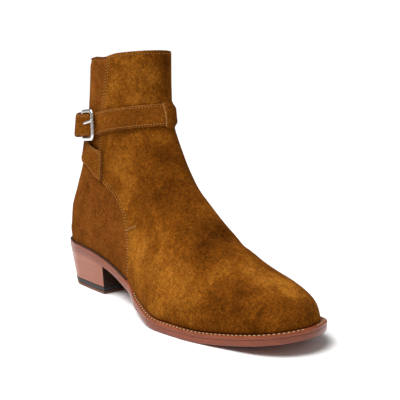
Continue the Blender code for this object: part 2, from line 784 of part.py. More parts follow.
plate(
    "outsole",
    [
        level(1.6, underside),
        level(0.5, lambda at: underside(at) + 1.1),
        level(0.5, lambda at: outsole_top(at) - 0.6),
        level(1.1, outsole_top),
    ],
    SOLE_LEATHER,
)
ring(
    "welt",
    [
        level(1.0, lambda at: outsole_top(at) + GAP),
        level(0.3, lambda at: outsole_top(at) + GAP + 0.7),
        level(0.3, lambda at: welt_top(at) - 0.7),
        level(1.0, welt_top),
        level(inside_wall, welt_top),
        level(inside_wall, lambda at: outsole_top(at) + GAP),
    ],
    WELT_LEATHER,
)
plate(
    "insole",
    [
        level(lambda at: inside_wall(at) + 2 * GAP, lambda at: outsole_top(at) + GAP),
        level(lambda at: inside_wall(at) + 2 * GAP, welt_top),
        level(lambda at: inside_wall(at) + 9 * GAP, lambda at: welt_top(at) + INSOLE_THICK),
    ],
    LINING,
)
heel_layer("top_lift", 0.0, TOP_LIFT_THICK, SOLE_LEATHER)
heel_layer("heel_rubber", TOP_LIFT_THICK + GAP, TOP_LIFT_THICK + GAP + RUBBER_THICK, RUBBER)
heel_layer("heel_stack", TOP_LIFT_THICK + RUBBER_THICK + 2 * GAP, None, HEEL_LEATHER)

TOE_STATIONS = -1.0 + 0.17 * np.linspace(0.0, 1.0, 9) ** 1.15
STATIONS = np.concatenate([TOE_STATIONS, np.linspace(-0.83, 0.0, 24)[1:], np.linspace(0.0, 1.0, 14)[1:]])
TURNS = np.linspace(0.0, 1.0, 29)
SHAFT = Shaft(outer_grid(STATIONS, TURNS))
upper = upper_shell(STATIONS, TURNS)

quarter = quarter_block()
boolean(quarter, lower_form(STATIONS, TURNS), "DIFFERENCE")
boolean(upper, quarter, "DIFFERENCE")
tunnel = band(
    "guide_tunnel", SHAFT, TUNNEL_ROWS, TUNNEL_RISE, None, margin=TUNNEL_MARGIN, bevel=1.6, under=0.9
)
boolean(upper, tunnel, "UNION")
for name, rows, start, end in (
    ("cutter_slit", ANKLE_STRAP_ROWS, -8.0, 6.0),
    ("cutter_rear_pocket", BACK_STRAP_ROWS, 259.0, 273.0),
):
    pocket = band(name, SHAFT, rows, STRAP_THICK + GAP, None, start=start, end=end, margin=GAP, under=GAP)
    boolean(upper, pocket, "DIFFERENCE")

AXES = buckle_axes(SHAFT)
ankle_strap = band("ankle_strap", SHAFT, ANKLE_STRAP_ROWS, STRAP_THICK, STRAP_SUEDE, start=-7.0)
boolean(ankle_strap, prong("cutter_prong_hole", AXES, 0.35, None), "DIFFERENCE")
band("back_strap", SHAFT, BACK_STRAP_ROWS, STRAP_THICK, STRAP_SUEDE, end=272.0)
buckle_frame(AXES)
prong("buckle_prong", AXES, 0.0, STEEL)
folded = chape(SHAFT, AXES)
boolean(folded, slot_block("cutter_prong_slot", AXES, 4.6, PRONG_HALF_WIDTH + 0.7), "DIFFERENCE")
keeper(SHAFT)
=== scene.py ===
"""Looks of a man's right jodhpur boot in suede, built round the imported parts."""

import math

import bmesh
import bpy
import numpy as np
from mathutils import Matrix, Vector
from mathutils.bvhtree import BVHTree


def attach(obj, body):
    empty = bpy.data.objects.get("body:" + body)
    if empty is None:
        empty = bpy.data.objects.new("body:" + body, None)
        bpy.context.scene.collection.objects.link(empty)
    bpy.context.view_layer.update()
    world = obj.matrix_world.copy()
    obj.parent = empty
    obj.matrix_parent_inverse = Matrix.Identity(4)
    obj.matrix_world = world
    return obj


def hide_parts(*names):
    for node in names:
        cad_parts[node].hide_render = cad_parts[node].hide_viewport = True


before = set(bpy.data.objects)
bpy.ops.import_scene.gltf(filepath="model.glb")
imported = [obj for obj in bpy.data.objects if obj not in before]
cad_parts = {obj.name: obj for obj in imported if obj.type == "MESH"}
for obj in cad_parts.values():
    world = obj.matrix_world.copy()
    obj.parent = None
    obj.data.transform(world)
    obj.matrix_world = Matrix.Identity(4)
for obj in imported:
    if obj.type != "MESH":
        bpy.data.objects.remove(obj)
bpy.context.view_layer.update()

MM = 0.001
GAP = 0.3
HEEL_AXIS_SIDE = 4.5

# Driving sizes
SOLE_LENGTH = 300.0
OUTSOLE_THICK = 5.0
WELT_THICK = 2.7
INSOLE_THICK = 3.0
WALL = 2.9
PANEL_STEP = 1.1
TOP_LIFT_THICK = 2.7
RUBBER_THICK = 3.7
STRAP_THICK = 1.9
CHAPE_THICK = 1.6
CHAPE_HALF = 9.1
KEEPER_WALL = 1.3
TUNNEL_RISE = 3.5
TUNNEL_MARGIN = 1.8
BUCKLE_HALF_HEIGHT = 12.0
BAR_CLEARANCE = 0.5
BUCKLE_CORNER = 3.6
BUCKLE_BAR_HALF = 1.4
BUCKLE_BAR_WIDE = 2.0
PRONG_HALF_WIDTH = 1.3
PRONG_THICK = 1.4
PRONG_RISE = 3.0
SHAFT_AXIS_ALONG = 84.0

# Details that only the visible pieces have
WELT_GROOVE = 0.35
CHAPE_LAP = ((5.0, 1.7), (2.6, 0.65))
STITCH_ROW_IN_WELT = 2.5
LINING_THICK = 0.35
TUNNEL_SKIN = 1.1
HEEL_LIFTS = 5
SEAT_ENDS_ALONG = 118.0
COLLAR_BEGINS = 0.86
COLLAR_DROP = 1.6
COLLAR_SEAM_DIP = 1.3
COLLAR_TUCK = 1.1
RIM_STEPS = 7
RIM_CROWN = 0.7
RIM_LEAN = 0.6
RIM_REACH = 6.0

# Where the camera stands: degrees, then millimetres, then the lens in widths of the square picture
CAMERA_TURN, CAMERA_PITCH, CAMERA_ROLL = -38.63, 9.23, -0.62
CAMERA_DISTANCE, CAMERA_HEIGHT = 656.95, 208.2
PICTURE_SIDE = 400.0
FOCAL_LENGTH = 790.85 / PICTURE_SIDE
CAMERA_SHIFT = (21.51 / PICTURE_SIDE, -9.31 / PICTURE_SIDE)
SENSOR_WIDTH = 36.0

# Soft studio light: the sun's strength, spread and direction, and each lamp's place, size and power
WORLD_LIGHT, WORLD_SEEN = 0.24, 1.05
SUN = (3.1, 45.0, (-0.35, 0.10, 0.93))
LAMPS = (("key", (-0.85, 0.05, 1.45), 0.9, 10.0), ("side", (0.8, -1.0, 0.8), 1.0, 1.5))
LAMPS_AIM = (0.0, 0.0, 0.08)
FLOOR_REACH = 3.0

# Outline of the sole: half width, and how far the middle lies to the inner side of the heel's axis
SOLE_COLUMNS = ("share", "half", "middle")
SOLE_ROWS = (
    (0.00, 0.0, 0.0),
    (0.02, 18.5, 0.0),
    (0.06, 28.0, 0.0),
    (0.12, 32.0, -0.3),
    (0.20, 32.3, -0.8),
    (0.30, 31.0, -1.8),
    (0.40, 32.0, -3.6),
    (0.50, 41.0, -6.4),
    (0.60, 48.3, -6.6),
    (0.70, 49.0, -3.3),
    (0.78, 46.6, -0.2),
    (0.86, 42.2, 2.4),
    (0.92, 35.8, 2.6),
    (0.97, 25.0, 3.0),
    (1.00, 0.0, 3.0),
)

# Underside of the outsole: height over the floor, and how far the upper's feather line lies inside the edge
LIFT_COLUMNS = ("share", "height", "feather_inset")
LIFT_ROWS = (
    (0.00, 33.5, 1.2),
    (0.10, 32.6, 1.2),
    (0.20, 30.4, 1.2),
    (0.30, 24.0, 1.3),
    (0.40, 14.6, 2.0),
    (0.50, 6.6, 3.4),
    (0.57, 2.0, 4.4),
    (0.62, 0.0, 4.8),
    (0.74, 0.0, 5.0),
    (0.81, 1.8, 5.0),
    (0.90, 6.1, 5.0),
    (1.00, 12.0, 5.2),
)

# The upper's sections. Each leans from the feather line (station -1 at the toe, 0 at the back of the heel)
# or from the back line (0 to 1 at the collar) up to the ridge over the instep and the shin.
RIDGE_COLUMNS = ("station", "along", "height", "side", "widest", "roundness")
RIDGE_ROWS = (
    (-1.00, 293.4, 26.0, 3.0, 0.40, 2.0),
    (-0.97, 289.2, 32.3, 3.0, 0.36, 2.3),
    (-0.93, 279.2, 37.8, 3.2, 0.32, 2.35),
    (-0.87, 262.2, 43.2, 3.5, 0.28, 2.3),
    (-0.78, 239.0, 50.2, 4.0, 0.25, 2.2),
    (-0.68, 214.3, 61.5, 5.0, 0.22, 2.1),
    (-0.58, 194.2, 77.2, 6.0, 0.20, 1.95),
    (-0.48, 176.6, 94.3, 6.0, 0.19, 1.9),
    (-0.38, 161.4, 109.4, 5.0, 0.18, 1.9),
    (-0.28, 151.0, 124.2, 4.0, 0.19, 1.95),
    (-0.18, 144.6, 137.0, 3.0, 0.22, 2.0),
    (-0.08, 140.0, 147.6, 2.0, 0.26, 2.05),
    (0.00, 136.6, 155.0, 1.5, 0.29, 2.1),
    (0.25, 132.0, 170.1, 1.0, 0.36, 2.15),
    (0.50, 129.2, 185.5, 0.5, 0.42, 2.15),
    (0.75, 127.4, 201.0, 0.0, 0.46, 2.15),
    (1.00, 126.4, 217.5, 0.0, 0.48, 2.15),
)

# How far a section swells past the feather line in front, and its half widths in the quarters and shaft
SWELL_COLUMNS = ("station", "outer", "inner")
SWELL_ROWS = (
    (-1.00, 0.0, 0.0),
    (-0.97, 0.6, 0.6),
    (-0.87, 1.4, 1.2),
    (-0.68, 2.6, 2.0),
    (-0.48, 3.0, 3.0),
    (-0.30, 3.0, 3.0),
)
BODY_COLUMNS = ("station", "outer", "inner")
BODY_ROWS = (
    (-0.48, 33.5, 32.0),
    (-0.38, 33.5, 32.0),
    (-0.28, 33.8, 32.7),
    (-0.18, 33.8, 33.0),
    (0.00, 33.2, 32.5),
    (0.22, 31.4, 31.4),
    (0.50, 30.9, 30.9),
    (1.00, 31.0, 31.0),
)
SWELL_ENDS = -0.46
BODY_BEGINS = -0.30
LOWER_TURN = 0.36

# Back line of the upper from the heel's feather to the collar
BACK_COLUMNS = ("station", "along", "height")
BACK_ROWS = (
    (0.00, 1.2, 41.8),
    (0.12, 0.4, 58.0),
    (0.25, 8.2, 78.0),
    (0.40, 19.0, 102.0),
    (0.55, 26.8, 126.0),
    (0.70, 32.0, 152.0),
    (0.85, 36.1, 180.0),
    (1.00, 39.0, 210.0),
)

# Rear edge of the front panel, seen from the side
SEAM_COLUMNS = ("height", "along")
SEAM_ROWS = (
    (0.0, 122.5),
    (35.0, 121.5),
    (50.0, 119.6),
    (62.0, 117.3),
    (73.0, 113.4),
    (84.0, 107.0),
    (93.0, 98.5),
    (99.0, 88.0),
    (104.0, 79.5),
    (112.0, 75.0),
    (125.0, 74.6),
    (148.0, 77.3),
    (171.0, 82.5),
    (193.0, 87.2),
    (206.0, 89.8),
    (225.0, 94.0),
)

# Straps round the shaft. The turn is 0 degrees at the shin, 90 on the outer side, 180 at the back. The
# height is the strap's middle, half its half width, and the lift its standing off the front panel's face.
STRAP_COLUMNS = ("turn", "height", "half", "lift")
ANKLE_STRAP_ROWS = (
    (-8.0, 165.2, 9.0, 0.45),
    (0.0, 165.0, 9.0, 0.45),
    (40.0, 162.1, 9.3, 0.45),
    (75.0, 159.2, 9.4, 0.4),
    (95.0, 157.0, 9.5, 0.4),
    (106.0, 155.7, 9.6, 0.5),
    (112.5, 154.9, 9.6, 0.8),
    (118.0, 154.3, 9.6, 2.7),
    (128.0, 153.6, 9.5, 6.8),
    (134.5, 153.2, 9.5, 8.8),
    (140.5, 152.9, 9.5, 8.4),
    (148.0, 152.7, 9.5, 6.4),
    (165.0, 152.8, 9.5, 5.0),
    (180.0, 153.1, 9.5, 4.4),
    (192.0, 153.4, 9.5, 4.2),
    (198.0, 153.5, 6.4, 4.2),
)
BACK_STRAP_ROWS = (
    (97.0, 118.5, 13.2, 0.3),
    (104.0, 119.0, 13.1, 0.3),
    (112.0, 120.6, 12.6, 0.0),
    (122.0, 123.6, 11.9, -0.45),
    (132.0, 128.0, 11.3, -0.7),
    (150.0, 132.4, 10.8, -0.7),
    (180.0, 145.5, 11.0, -0.6),
    (210.0, 157.0, 11.0, -0.5),
    (240.0, 162.2, 11.0, -0.5),
    (258.0, 163.3, 11.0, 0.1),
    (273.0, 163.4, 11.0, 0.3),
)
CHAPE_ROWS = (
    (137.6, 152.9, CHAPE_HALF, 0.7),
    (143.5, 152.8, CHAPE_HALF, 2.2),
    (148.0, 152.7, CHAPE_HALF, 3.5),
    (160.0, 152.8, CHAPE_HALF, 2.7),
    (176.0, 153.1, CHAPE_HALF, 2.3),
    (200.0, 154.0, CHAPE_HALF, 2.2),
    (222.0, 156.0, CHAPE_HALF, 2.2),
)
TUNNEL_ROWS = (
    (-93.0, 163.4, 11.0, 0.0),
    (-60.0, 163.5, 10.4, 0.0),
    (-30.0, 164.0, 9.6, 0.0),
    (1.5, 164.4, 9.0, 0.0),
)

# The two upright bars of the buckle, each by its turn, its lift and its middle's height
FRONT_BAR = (106.8, 5.1, 154.9)
REAR_BAR = (137.6, 4.1, 152.9)

# Sides of the heel: how far each level lies inside the outline, at the back and along the sides
HEEL_COLUMNS = ("height", "back_inset", "side_inset", "breast")
HEEL_ROWS = (
    (0.0, 8.0, 4.0, 76.0),
    (34.0, 0.9, 0.9, 78.5),
)

# Creases of the worn upper: depth, half width, then the places along each as side, along and height.
# A negative depth makes a hump.
CREASES = (
    (1.5, 5, (
        (26, 205, 58), (12.2, 207.4, 66.1), (4, 201.8, 70.2), (-7.9, 195.6, 72.6), (-16.2, 185.3, 75.8),
    )),
    (0.9, 5.5, ((5, 162.7, 107), (-3.3, 159.4, 104.4), (-12.3, 148.9, 101))),
    (0.7, 3.2, ((26.7, 249.9, 44.4), (5.8, 252.8, 45.9), (-5.2, 242, 48.2), (-13.2, 230.2, 50.7))),
    (0.8, 3.4, (
        (17.9, 270.9, 40.1), (2.4, 266.9, 41.7), (-8.2, 256.1, 43.5), (-17, 243.4, 44.6), (-29.9, 230.3, 42),
    )),
    (0.5, 3, ((-9.3, 272, 38.3), (-17.9, 261.8, 38.6), (-24.8, 247.3, 39.1), (-34.3, 235.3, 34.8))),
    (0.7, 5, ((10, 185.2, 85.7), (-1.7, 180.9, 87.3), (-9.7, 169.8, 90.8))),
    (1.1, 4, ((-27.3, 55.3, 102.2), (-27.6, 56.6, 93), (-28, 59.4, 82))),
    (0.8, 5, ((-27, 68.7, 94.4), (-27.9, 72.8, 80.1), (-28.6, 71.8, 65))),
    (0.7, 7, ((-22.4, 98.4, 115.4), (-23, 108.1, 102.2), (-23.1, 122.8, 89.9))),
    (-0.8, 6, (
        (26, 213, 54), (10.7, 213.2, 62.2), (3.2, 209.9, 64.1), (-7.1, 204.5, 66), (-15.4, 196.8, 68.5),
    )),
)

# Places where the suede is painted lighter or darker: side, along, height, radius and how much. Most are
# patches where the brushed nap lies differently; the dark ones under the buckle and the ankle strap's lower
# edge, and the three down the shin's front near the top, are painted shade.
NAP_AND_SHADE_ROWS = (
    (-33.1, 141.1, 45, 17.1, 0.34),
    (-27.7, 125.4, 62.5, 12.6, 0.3),
    (-30.5, 146.5, 57.8, 10.8, 0.2),
    (2.4, 251.9, 46, 13.5, 0.42),
    (12.8, 265.2, 42.2, 10.8, 0.3),
    (-14.7, 222.6, 53.5, 14.4, 0.3),
    (-42.6, 216.6, 29.2, 12.6, 0.3),
    (-48.8, 183.7, 19.4, 10.8, 0.25),
    (-24.4, 98.7, 205.1, 12.6, 0.12),
    (-22.1, 98.1, 119, 15.3, 0.14),
    (5.1, 274.6, 39.4, 9, 0.25),
    (-42.3, 199, 41.4, 12.6, 0.18),
    (-42.1, 180.8, 47.5, 12.6, 0.15),
    (6, 199.5, 72.4, 15.3, -0.34),
    (-16.5, 200.7, 65.2, 12.6, -0.2),
    (-29.7, 246, 35.1, 15.3, -0.28),
    (-26.6, 264.4, 29.6, 19.8, -0.14),
    (-4.4, 287.7, 30.6, 19.8, 0.04),
    # Painted shade down the shin's front edge near the top
    (7.8, 126.7, 208.1, 8.1, -0.34),
    (-14.1, 172.5, 85.3, 21.6, -0.16),
    (-3.1, 164.5, 99.8, 14.4, -0.14),
    (-4.8, 145.2, 121.9, 14.4, -0.12),
    (-26.1, 270.4, 17.2, 19.8, -0.18),
    (-28, 199.4, 58.6, 12.6, -0.12),
    (-23.2, 134.4, 80.9, 10.8, -0.1),
    (-25.7, 82.7, 153.9, 9, -0.1),
    (9.1, 291.2, 28.6, 10.8, -0.2),
    (-27.5, 56, 97.6, 4.7, -0.4),
    (-28.2, 61.2, 77.6, 6.5, 0.3),
    (-26.2, 74.6, 102.4, 7.2, -0.12),
    (-27.8, 96.7, 33.7, 10.8, -0.12),
    (-28.5, 86.3, 67.2, 9, -0.08),
    (-27.7, 33.4, 66.8, 9, 0.08),
    # Painted shade down the shin's front edge, below the row at 126.7 along
    (5.3, 127.7, 197.3, 7.5, -0.3),
    (4.7, 129.6, 182.4, 7.2, -0.28),
    (-25, 68, 203, 9, 0.24),
    (-24.8, 64.8, 183.7, 9, 0.2),
    # Painted shade under the ankle strap beside the buckle and keeper
    (-25.9, 60.3, 142.9, 6.1, -0.45),
    (-22.5, 50.8, 146.4, 4.7, -0.2),
    (-14.5, 122.9, 130.6, 21.6, -0.16),
    (-13.8, 149.1, 97.6, 21.6, -0.2),
    (-19.3, 212.3, 56.6, 10.8, -0.14),
    # Painted shade under the buckle, the darkest of these rows
    (-26.5, 64.7, 137, 5.4, -0.8),
    (-26.5, 68.3, 142.2, 4, -0.5),
    (-20.8, 108.4, 198.2, 10.8, 0.1),
    (-10.3, 122.8, 182.8, 10.8, 0.06),
    (-18.1, 282.9, 18.7, 10.8, 0.1),
    (-18, 111, 186, 24, 0.14),
)

# The short bar of stitches at the top of the vamp's seam: its two ends as side, along and height
TACK = ((-28.5, 117.1, 66.1), (-27.5, 130.0, 71.5))


def column(rows, names, name):
    return np.array([row[names.index(name)] for row in rows], float)


def smooth(knots, values, at):
    """Monotone cubic through the knots, flat beyond them."""
    at = np.clip(np.asarray(at, float), knots[0], knots[-1])
    step = np.diff(knots)
    rise = np.diff(values) / step
    slope = np.empty(len(knots))
    slope[0], slope[-1] = rise[0], rise[-1]
    before, after = rise[:-1], rise[1:]
    same_way = before * after > 0
    safe_before = np.where(same_way, before, 1.0)
    safe_after = np.where(same_way, after, 1.0)
    near = 2 * step[1:] + step[:-1]
    far = step[1:] + 2 * step[:-1]
    slope[1:-1] = np.where(same_way, (near + far) / (near / safe_before + far / safe_after), 0.0)
    k = np.clip(np.searchsorted(knots, at, side="right") - 1, 0, len(step) - 1)
    t = (at - knots[k]) / step[k]
    return (
        values[k] * (1 + 2 * t) * (1 - t) ** 2
        + slope[k] * step[k] * t * (1 - t) ** 2
        + values[k + 1] * t * t * (3 - 2 * t)
        + slope[k + 1] * step[k] * t * t * (t - 1)
    )


def table(rows, names, name, at):
    return smooth(column(rows, names, names[0]), column(rows, names, name), at)


def ease(t):
    t = np.clip(t, 0.0, 1.0)
    return t * t * (3 - 2 * t)


def to_row(side, along, height):
    """Side, along and height as row positions, toe to -Y."""
    side, along, height = np.broadcast_arrays(side, along, height)
    return np.stack([side + HEEL_AXIS_SIDE, SOLE_LENGTH / 2 - along, height], axis=-1)


def half_width(along):
    squares = column(SOLE_ROWS, SOLE_COLUMNS, "half") ** 2
    shares = column(SOLE_ROWS, SOLE_COLUMNS, "share")
    return np.sqrt(np.maximum(smooth(shares, squares, along / SOLE_LENGTH), 0.0))


def middle(along):
    return table(SOLE_ROWS, SOLE_COLUMNS, "middle", along / SOLE_LENGTH)


def underside(along):
    return table(LIFT_ROWS, LIFT_COLUMNS, "height", np.asarray(along, float) / SOLE_LENGTH)


def outsole_top(along):
    return underside(along) + OUTSOLE_THICK


def welt_top(along):
    return outsole_top(along) + GAP + WELT_THICK


def feather_height(along):
    return welt_top(along) + GAP


def feather_inset(along):
    return table(LIFT_ROWS, LIFT_COLUMNS, "feather_inset", np.asarray(along, float) / SOLE_LENGTH)


def inside_wall(along):
    return feather_inset(along) + WALL


def stations(count, reach=SOLE_LENGTH):
    """Places from the heel's back to reach, closer together at a round end."""
    if reach == SOLE_LENGTH:
        return reach * (1 - np.cos(np.linspace(0.0, math.pi, count + 1))) / 2
    return reach * (1 - np.cos(np.linspace(0.0, math.pi / 2, count + 1)))


def edges(along, inset):
    """The outer and inner edge of the sole as (side, along) rows, moved inwards by inset."""
    pair = []
    for sign in (-1.0, 1.0):
        fine = stations(900)
        path = np.stack([middle(fine) + sign * half_width(fine), fine], axis=1)
        tangent = np.gradient(path, axis=0)
        tangent /= np.linalg.norm(tangent, axis=1)[:, None]
        tangent[0] = (sign, 0.0)
        tangent[-1] = (-sign, 0.0)
        across = np.interp(along, fine, tangent[:, 0]), np.interp(along, fine, tangent[:, 1])
        here = np.stack([middle(along) + sign * half_width(along), along], axis=1)
        inward = np.stack([-across[1] * sign, across[0] * sign], axis=1)
        inward /= np.linalg.norm(inward, axis=1)[:, None]
        depth = inset(along) if callable(inset) else np.full(len(along), float(inset))
        pair.append(here + inward * depth[:, None])
    return pair


def loop_of(pair, height):
    """Closed path up the outer edge and back down the inner one, with its heights."""
    outer, inner = pair
    flat = np.concatenate([outer, inner[::-1]])
    return to_row(flat[:, 0], flat[:, 1], height(flat[:, 1]) if callable(height) else height)


def strips(rows, columns, close_rows=False, close_columns=False, start=0):
    """Quads between rows of a point grid."""
    faces = []
    for i in range(rows if close_rows else rows - 1):
        for j in range(columns if close_columns else columns - 1):
            here, above = start + i * columns, start + (i + 1) % rows * columns
            k = (j + 1) % columns
            faces.append((here + j, here + k, above + k, above + j))
    return faces


def rung_cap(first, size):
    """Quads across a loop, joining each point to the one at the same place on the other edge."""
    half = size // 2
    return [(first + i, first + i + 1, first + size - 2 - i, first + size - 1 - i) for i in range(half - 1)]


def rung_solid(count, size):
    """Faces of a solid whose end loops are closed by quads across them."""
    return strips(count, size, close_columns=True) + rung_cap(0, size) + rung_cap((count - 1) * size, size)


def flat_ended(count, size):
    """Faces of a solid whose end loops are one flat face each."""
    ends = [tuple(range(size)), tuple((count - 1) * size + k for k in range(size))]
    return strips(count, size, close_columns=True) + ends


def feather_lines():
    """Dense outer and inner feather lines with their shares of length, heel to toe."""
    lines = []
    for edge in edges(stations(400), feather_inset):
        length = np.concatenate([[0.0], np.cumsum(np.linalg.norm(np.diff(edge, axis=0), axis=1))])
        lines.append((length / length[-1], edge))
    return lines


def feather_foot(lines, which, station):
    shares, edge = lines[which]
    side = float(np.interp(-station, shares, edge[:, 0]))
    along = float(np.interp(-station, shares, edge[:, 1]))
    return side, along, float(feather_height(along))


def section(lines, station, turns):
    """Side, along and height of one leaning section, from the outer foot over the ridge to the inner foot."""
    ridge = [float(table(RIDGE_ROWS, RIDGE_COLUMNS, name, station)) for name in ("side", "along", "height")]
    widest = float(table(RIDGE_ROWS, RIDGE_COLUMNS, "widest", station))
    power = 2.0 / float(table(RIDGE_ROWS, RIDGE_COLUMNS, "roundness", station))
    back = [float(table(BACK_ROWS, BACK_COLUMNS, name, station)) for name in ("along", "height")]
    body_share = float(ease((station - SWELL_ENDS) / (BODY_BEGINS - SWELL_ENDS)))
    points = np.empty((len(turns), 3))
    for which, name, sign in ((0, "outer", -1.0), (1, "inner", 1.0)):
        foot = feather_foot(lines, which, station) if station < 0 else (0.0, *back)
        swell = foot[0] + sign * float(table(SWELL_ROWS, SWELL_COLUMNS, name, station))
        body = sign * float(table(BODY_ROWS, BODY_COLUMNS, name, station))
        wide = (1 - body_share) * swell + body_share * body
        closing = min(1.0, max(0.0, (abs(wide) - abs(foot[0])) / abs(wide))) if body_share > 0 else 0.0
        mine = turns <= 0.5 if which == 0 else turns > 0.5
        up = 2 * (turns[mine] if which == 0 else 1 - turns[mine])
        low = np.clip(up / LOWER_TURN, 0.0, 1.0)
        high = np.clip((up - LOWER_TURN) / (1 - LOWER_TURN), 0.0, 1.0) * math.pi / 2
        out = (1 - closing) * (1 - (1 - low) ** 2) + closing * np.sin(low * math.pi / 2)
        rise = (1 - closing) * low + closing * (1 - np.cos(low * math.pi / 2))
        in_low = up <= LOWER_TURN
        side = np.where(
            in_low, foot[0] + (wide - foot[0]) * out, ridge[0] + (wide - ridge[0]) * np.cos(high) ** power
        )
        climb = np.where(in_low, widest * rise, widest + (1 - widest) * np.sin(high) ** power)
        points[mine, 0] = side
        points[mine, 1] = foot[1] + (ridge[1] - foot[1]) * climb
        points[mine, 2] = foot[2] + (ridge[2] - foot[2]) * climb
    return points


def outer_grid(station_list, turns):
    lines = feather_lines()
    rows = [section(lines, station, turns) for station in station_list]
    grid = np.stack(rows)
    return to_row(grid[..., 0], grid[..., 1], grid[..., 2])


def grid_normals(grid, closed_from):
    """Outward normals by differences along and across the grid."""
    along = np.gradient(grid, axis=0)
    across = np.gradient(grid, axis=1)
    joined = grid[closed_from:]
    across[closed_from:, 0] = joined[:, 1] - joined[:, -2]
    across[closed_from:, -1] = across[closed_from:, 0]
    normal = np.cross(across, along)
    length = np.linalg.norm(normal, axis=2, keepdims=True)
    return normal / np.maximum(length, 1e-9)


class Shaft:
    """Points and directions round the shaft's outer form, by turn and height."""

    def __init__(self, tree):
        self.tree = tree

    def hit(self, turn, height):
        angle = math.radians(turn)
        start = Vector(to_row(0.0, SHAFT_AXIS_ALONG, height))
        return np.array(self.tree.ray_cast(start, Vector((-math.sin(angle), -math.cos(angle), 0.0)))[0])

    def path(self, turns, heights, lifts):
        """A run round the shaft at the given lifts, with its outward directions."""
        face = np.array([self.hit(turn, height) for turn, height in zip(turns, heights)])
        raised = face + outward(face) * np.asarray(lifts)[:, None]
        return raised, outward(raised)

    def spot(self, turn, height, lift):
        """One place on the shaft at a lift, with its outward direction."""
        near = np.array([turn - 3.0, turn, turn + 3.0])
        path, away = self.path(near, np.full(3, height), np.full(3, lift))
        return path[1], away[1]

    def at(self, turn, height, lift):
        return self.spot(turn, height, lift)[0]


def outward(path):
    """Level directions square to a run round the shaft, away from it."""
    tangent = np.gradient(path, axis=0)
    square = np.stack([tangent[:, 1], -tangent[:, 0], np.zeros(len(path))], axis=1)
    for _ in range(2):
        square[1:-1] = (square[:-2] + 2 * square[1:-1] + square[2:]) / 4
    square /= np.linalg.norm(square, axis=1, keepdims=True)
    middle_point = path.mean(axis=0)
    axis = to_row(0.0, SHAFT_AXIS_ALONG, 0.0)
    away = ((path - axis) * square)[:, :2].sum()
    return square if away > 0 else -square


class Bar:
    """The middle of an upright bar of the buckle and the direction up it."""

    def __init__(self, shaft, place):
        turn, lift, middle_height = place
        ends = [shaft.at(turn, middle_height + sign * 11.0, lift) for sign in (-1.0, 1.0)]
        self.rise = (ends[1] - ends[0]) / np.linalg.norm(ends[1] - ends[0])
        self.middle = (ends[0] + ends[1]) / 2


def buckle_axes(shaft):
    """Middle of the rear bar, the directions to the front bar, up the bars and outwards, and the length."""
    rear, front = Bar(shaft, REAR_BAR), Bar(shaft, FRONT_BAR)
    forward = front.middle - rear.middle
    length = np.linalg.norm(forward)
    forward /= length
    rise = rear.rise + front.rise
    rise -= forward * (rise @ forward)
    rise /= np.linalg.norm(rise)
    out = np.cross(rise, forward)
    if out @ (rear.middle - to_row(0.0, SHAFT_AXIS_ALONG, rear.middle[2])) < 0:
        out = -out
    return rear.middle, forward, rise, out, length


def prong_path(length):
    """Places of the prong's middle as (forward, out): a coil round the rear bar, then the tongue."""
    radius = BUCKLE_BAR_HALF + BAR_CLEARANCE + PRONG_THICK / 2
    turns = [math.radians(angle) for angle in range(-215, 1, 24)]
    coil = [(radius * math.sin(turn), radius * math.cos(turn)) for turn in turns]
    rest = BUCKLE_BAR_HALF + GAP + PRONG_THICK / 2 + 0.1
    return np.array(
        coil
        + [
            (3.0, radius + 0.15),
            (6.5, radius + 0.5),
            (10.5, radius + 0.8),
            (15.0, radius + 0.7),
            (length - 2.0, rest + 0.1),
            (length + 1.6, rest),
            (length + 3.2, rest - 0.2),
        ]
    )


def mesh_piece(name, points, faces, materials, slot, replaces=(), slots=None, merge=0.0, sharp=None):
    """A piece from millimetre points and faces, riding on the boot."""
    mesh = bpy.data.meshes.new(name)
    mesh.from_pydata((np.asarray(points, float) * MM).tolist(), [], [list(map(int, face)) for face in faces])
    for material in materials:
        mesh.materials.append(material)
    if slots is not None:
        mesh.polygons.foreach_set("material_index", np.asarray(slots, np.int32))
    form = bmesh.new()
    form.from_mesh(mesh)
    if merge:
        bmesh.ops.remove_doubles(form, verts=form.verts, dist=merge * MM)
        bmesh.ops.dissolve_degenerate(form, edges=form.edges, dist=merge * MM * 0.5)
    loose = [vert for vert in form.verts if not vert.link_faces]
    bmesh.ops.delete(form, geom=loose, context="VERTS")
    form.to_mesh(mesh)
    form.free()
    mesh.polygons.foreach_set("use_smooth", [True] * len(mesh.polygons))
    if sharp:
        mesh.set_sharp_from_angle(angle=math.radians(sharp))
    item = bpy.data.objects.new(name, mesh)
    bpy.context.scene.collection.objects.link(item)
    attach(item, "root")
    if replaces:
        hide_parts(*replaces)
    return item


def outward_faces(item):
    form = bmesh.new()
    form.from_mesh(item.data)
    bmesh.ops.recalc_face_normals(form, faces=form.faces)
    form.to_mesh(item.data)
    form.free()
    return item


def plate_piece(name, loops, materials, slot, replaces=()):
    faces = rung_solid(len(loops), len(loops[0]))
    return outward_faces(
        mesh_piece(name, np.concatenate(loops), faces, materials, slot, replaces, None, 0.005, 40.0)
    )


def ring_piece(name, loops, materials, slot, replaces=(), sharp=40.0):
    faces = strips(len(loops), len(loops[0]), close_rows=True, close_columns=True)
    return outward_faces(
        mesh_piece(name, np.concatenate(loops), faces, materials, slot, replaces, None, 0.005, sharp)
    )


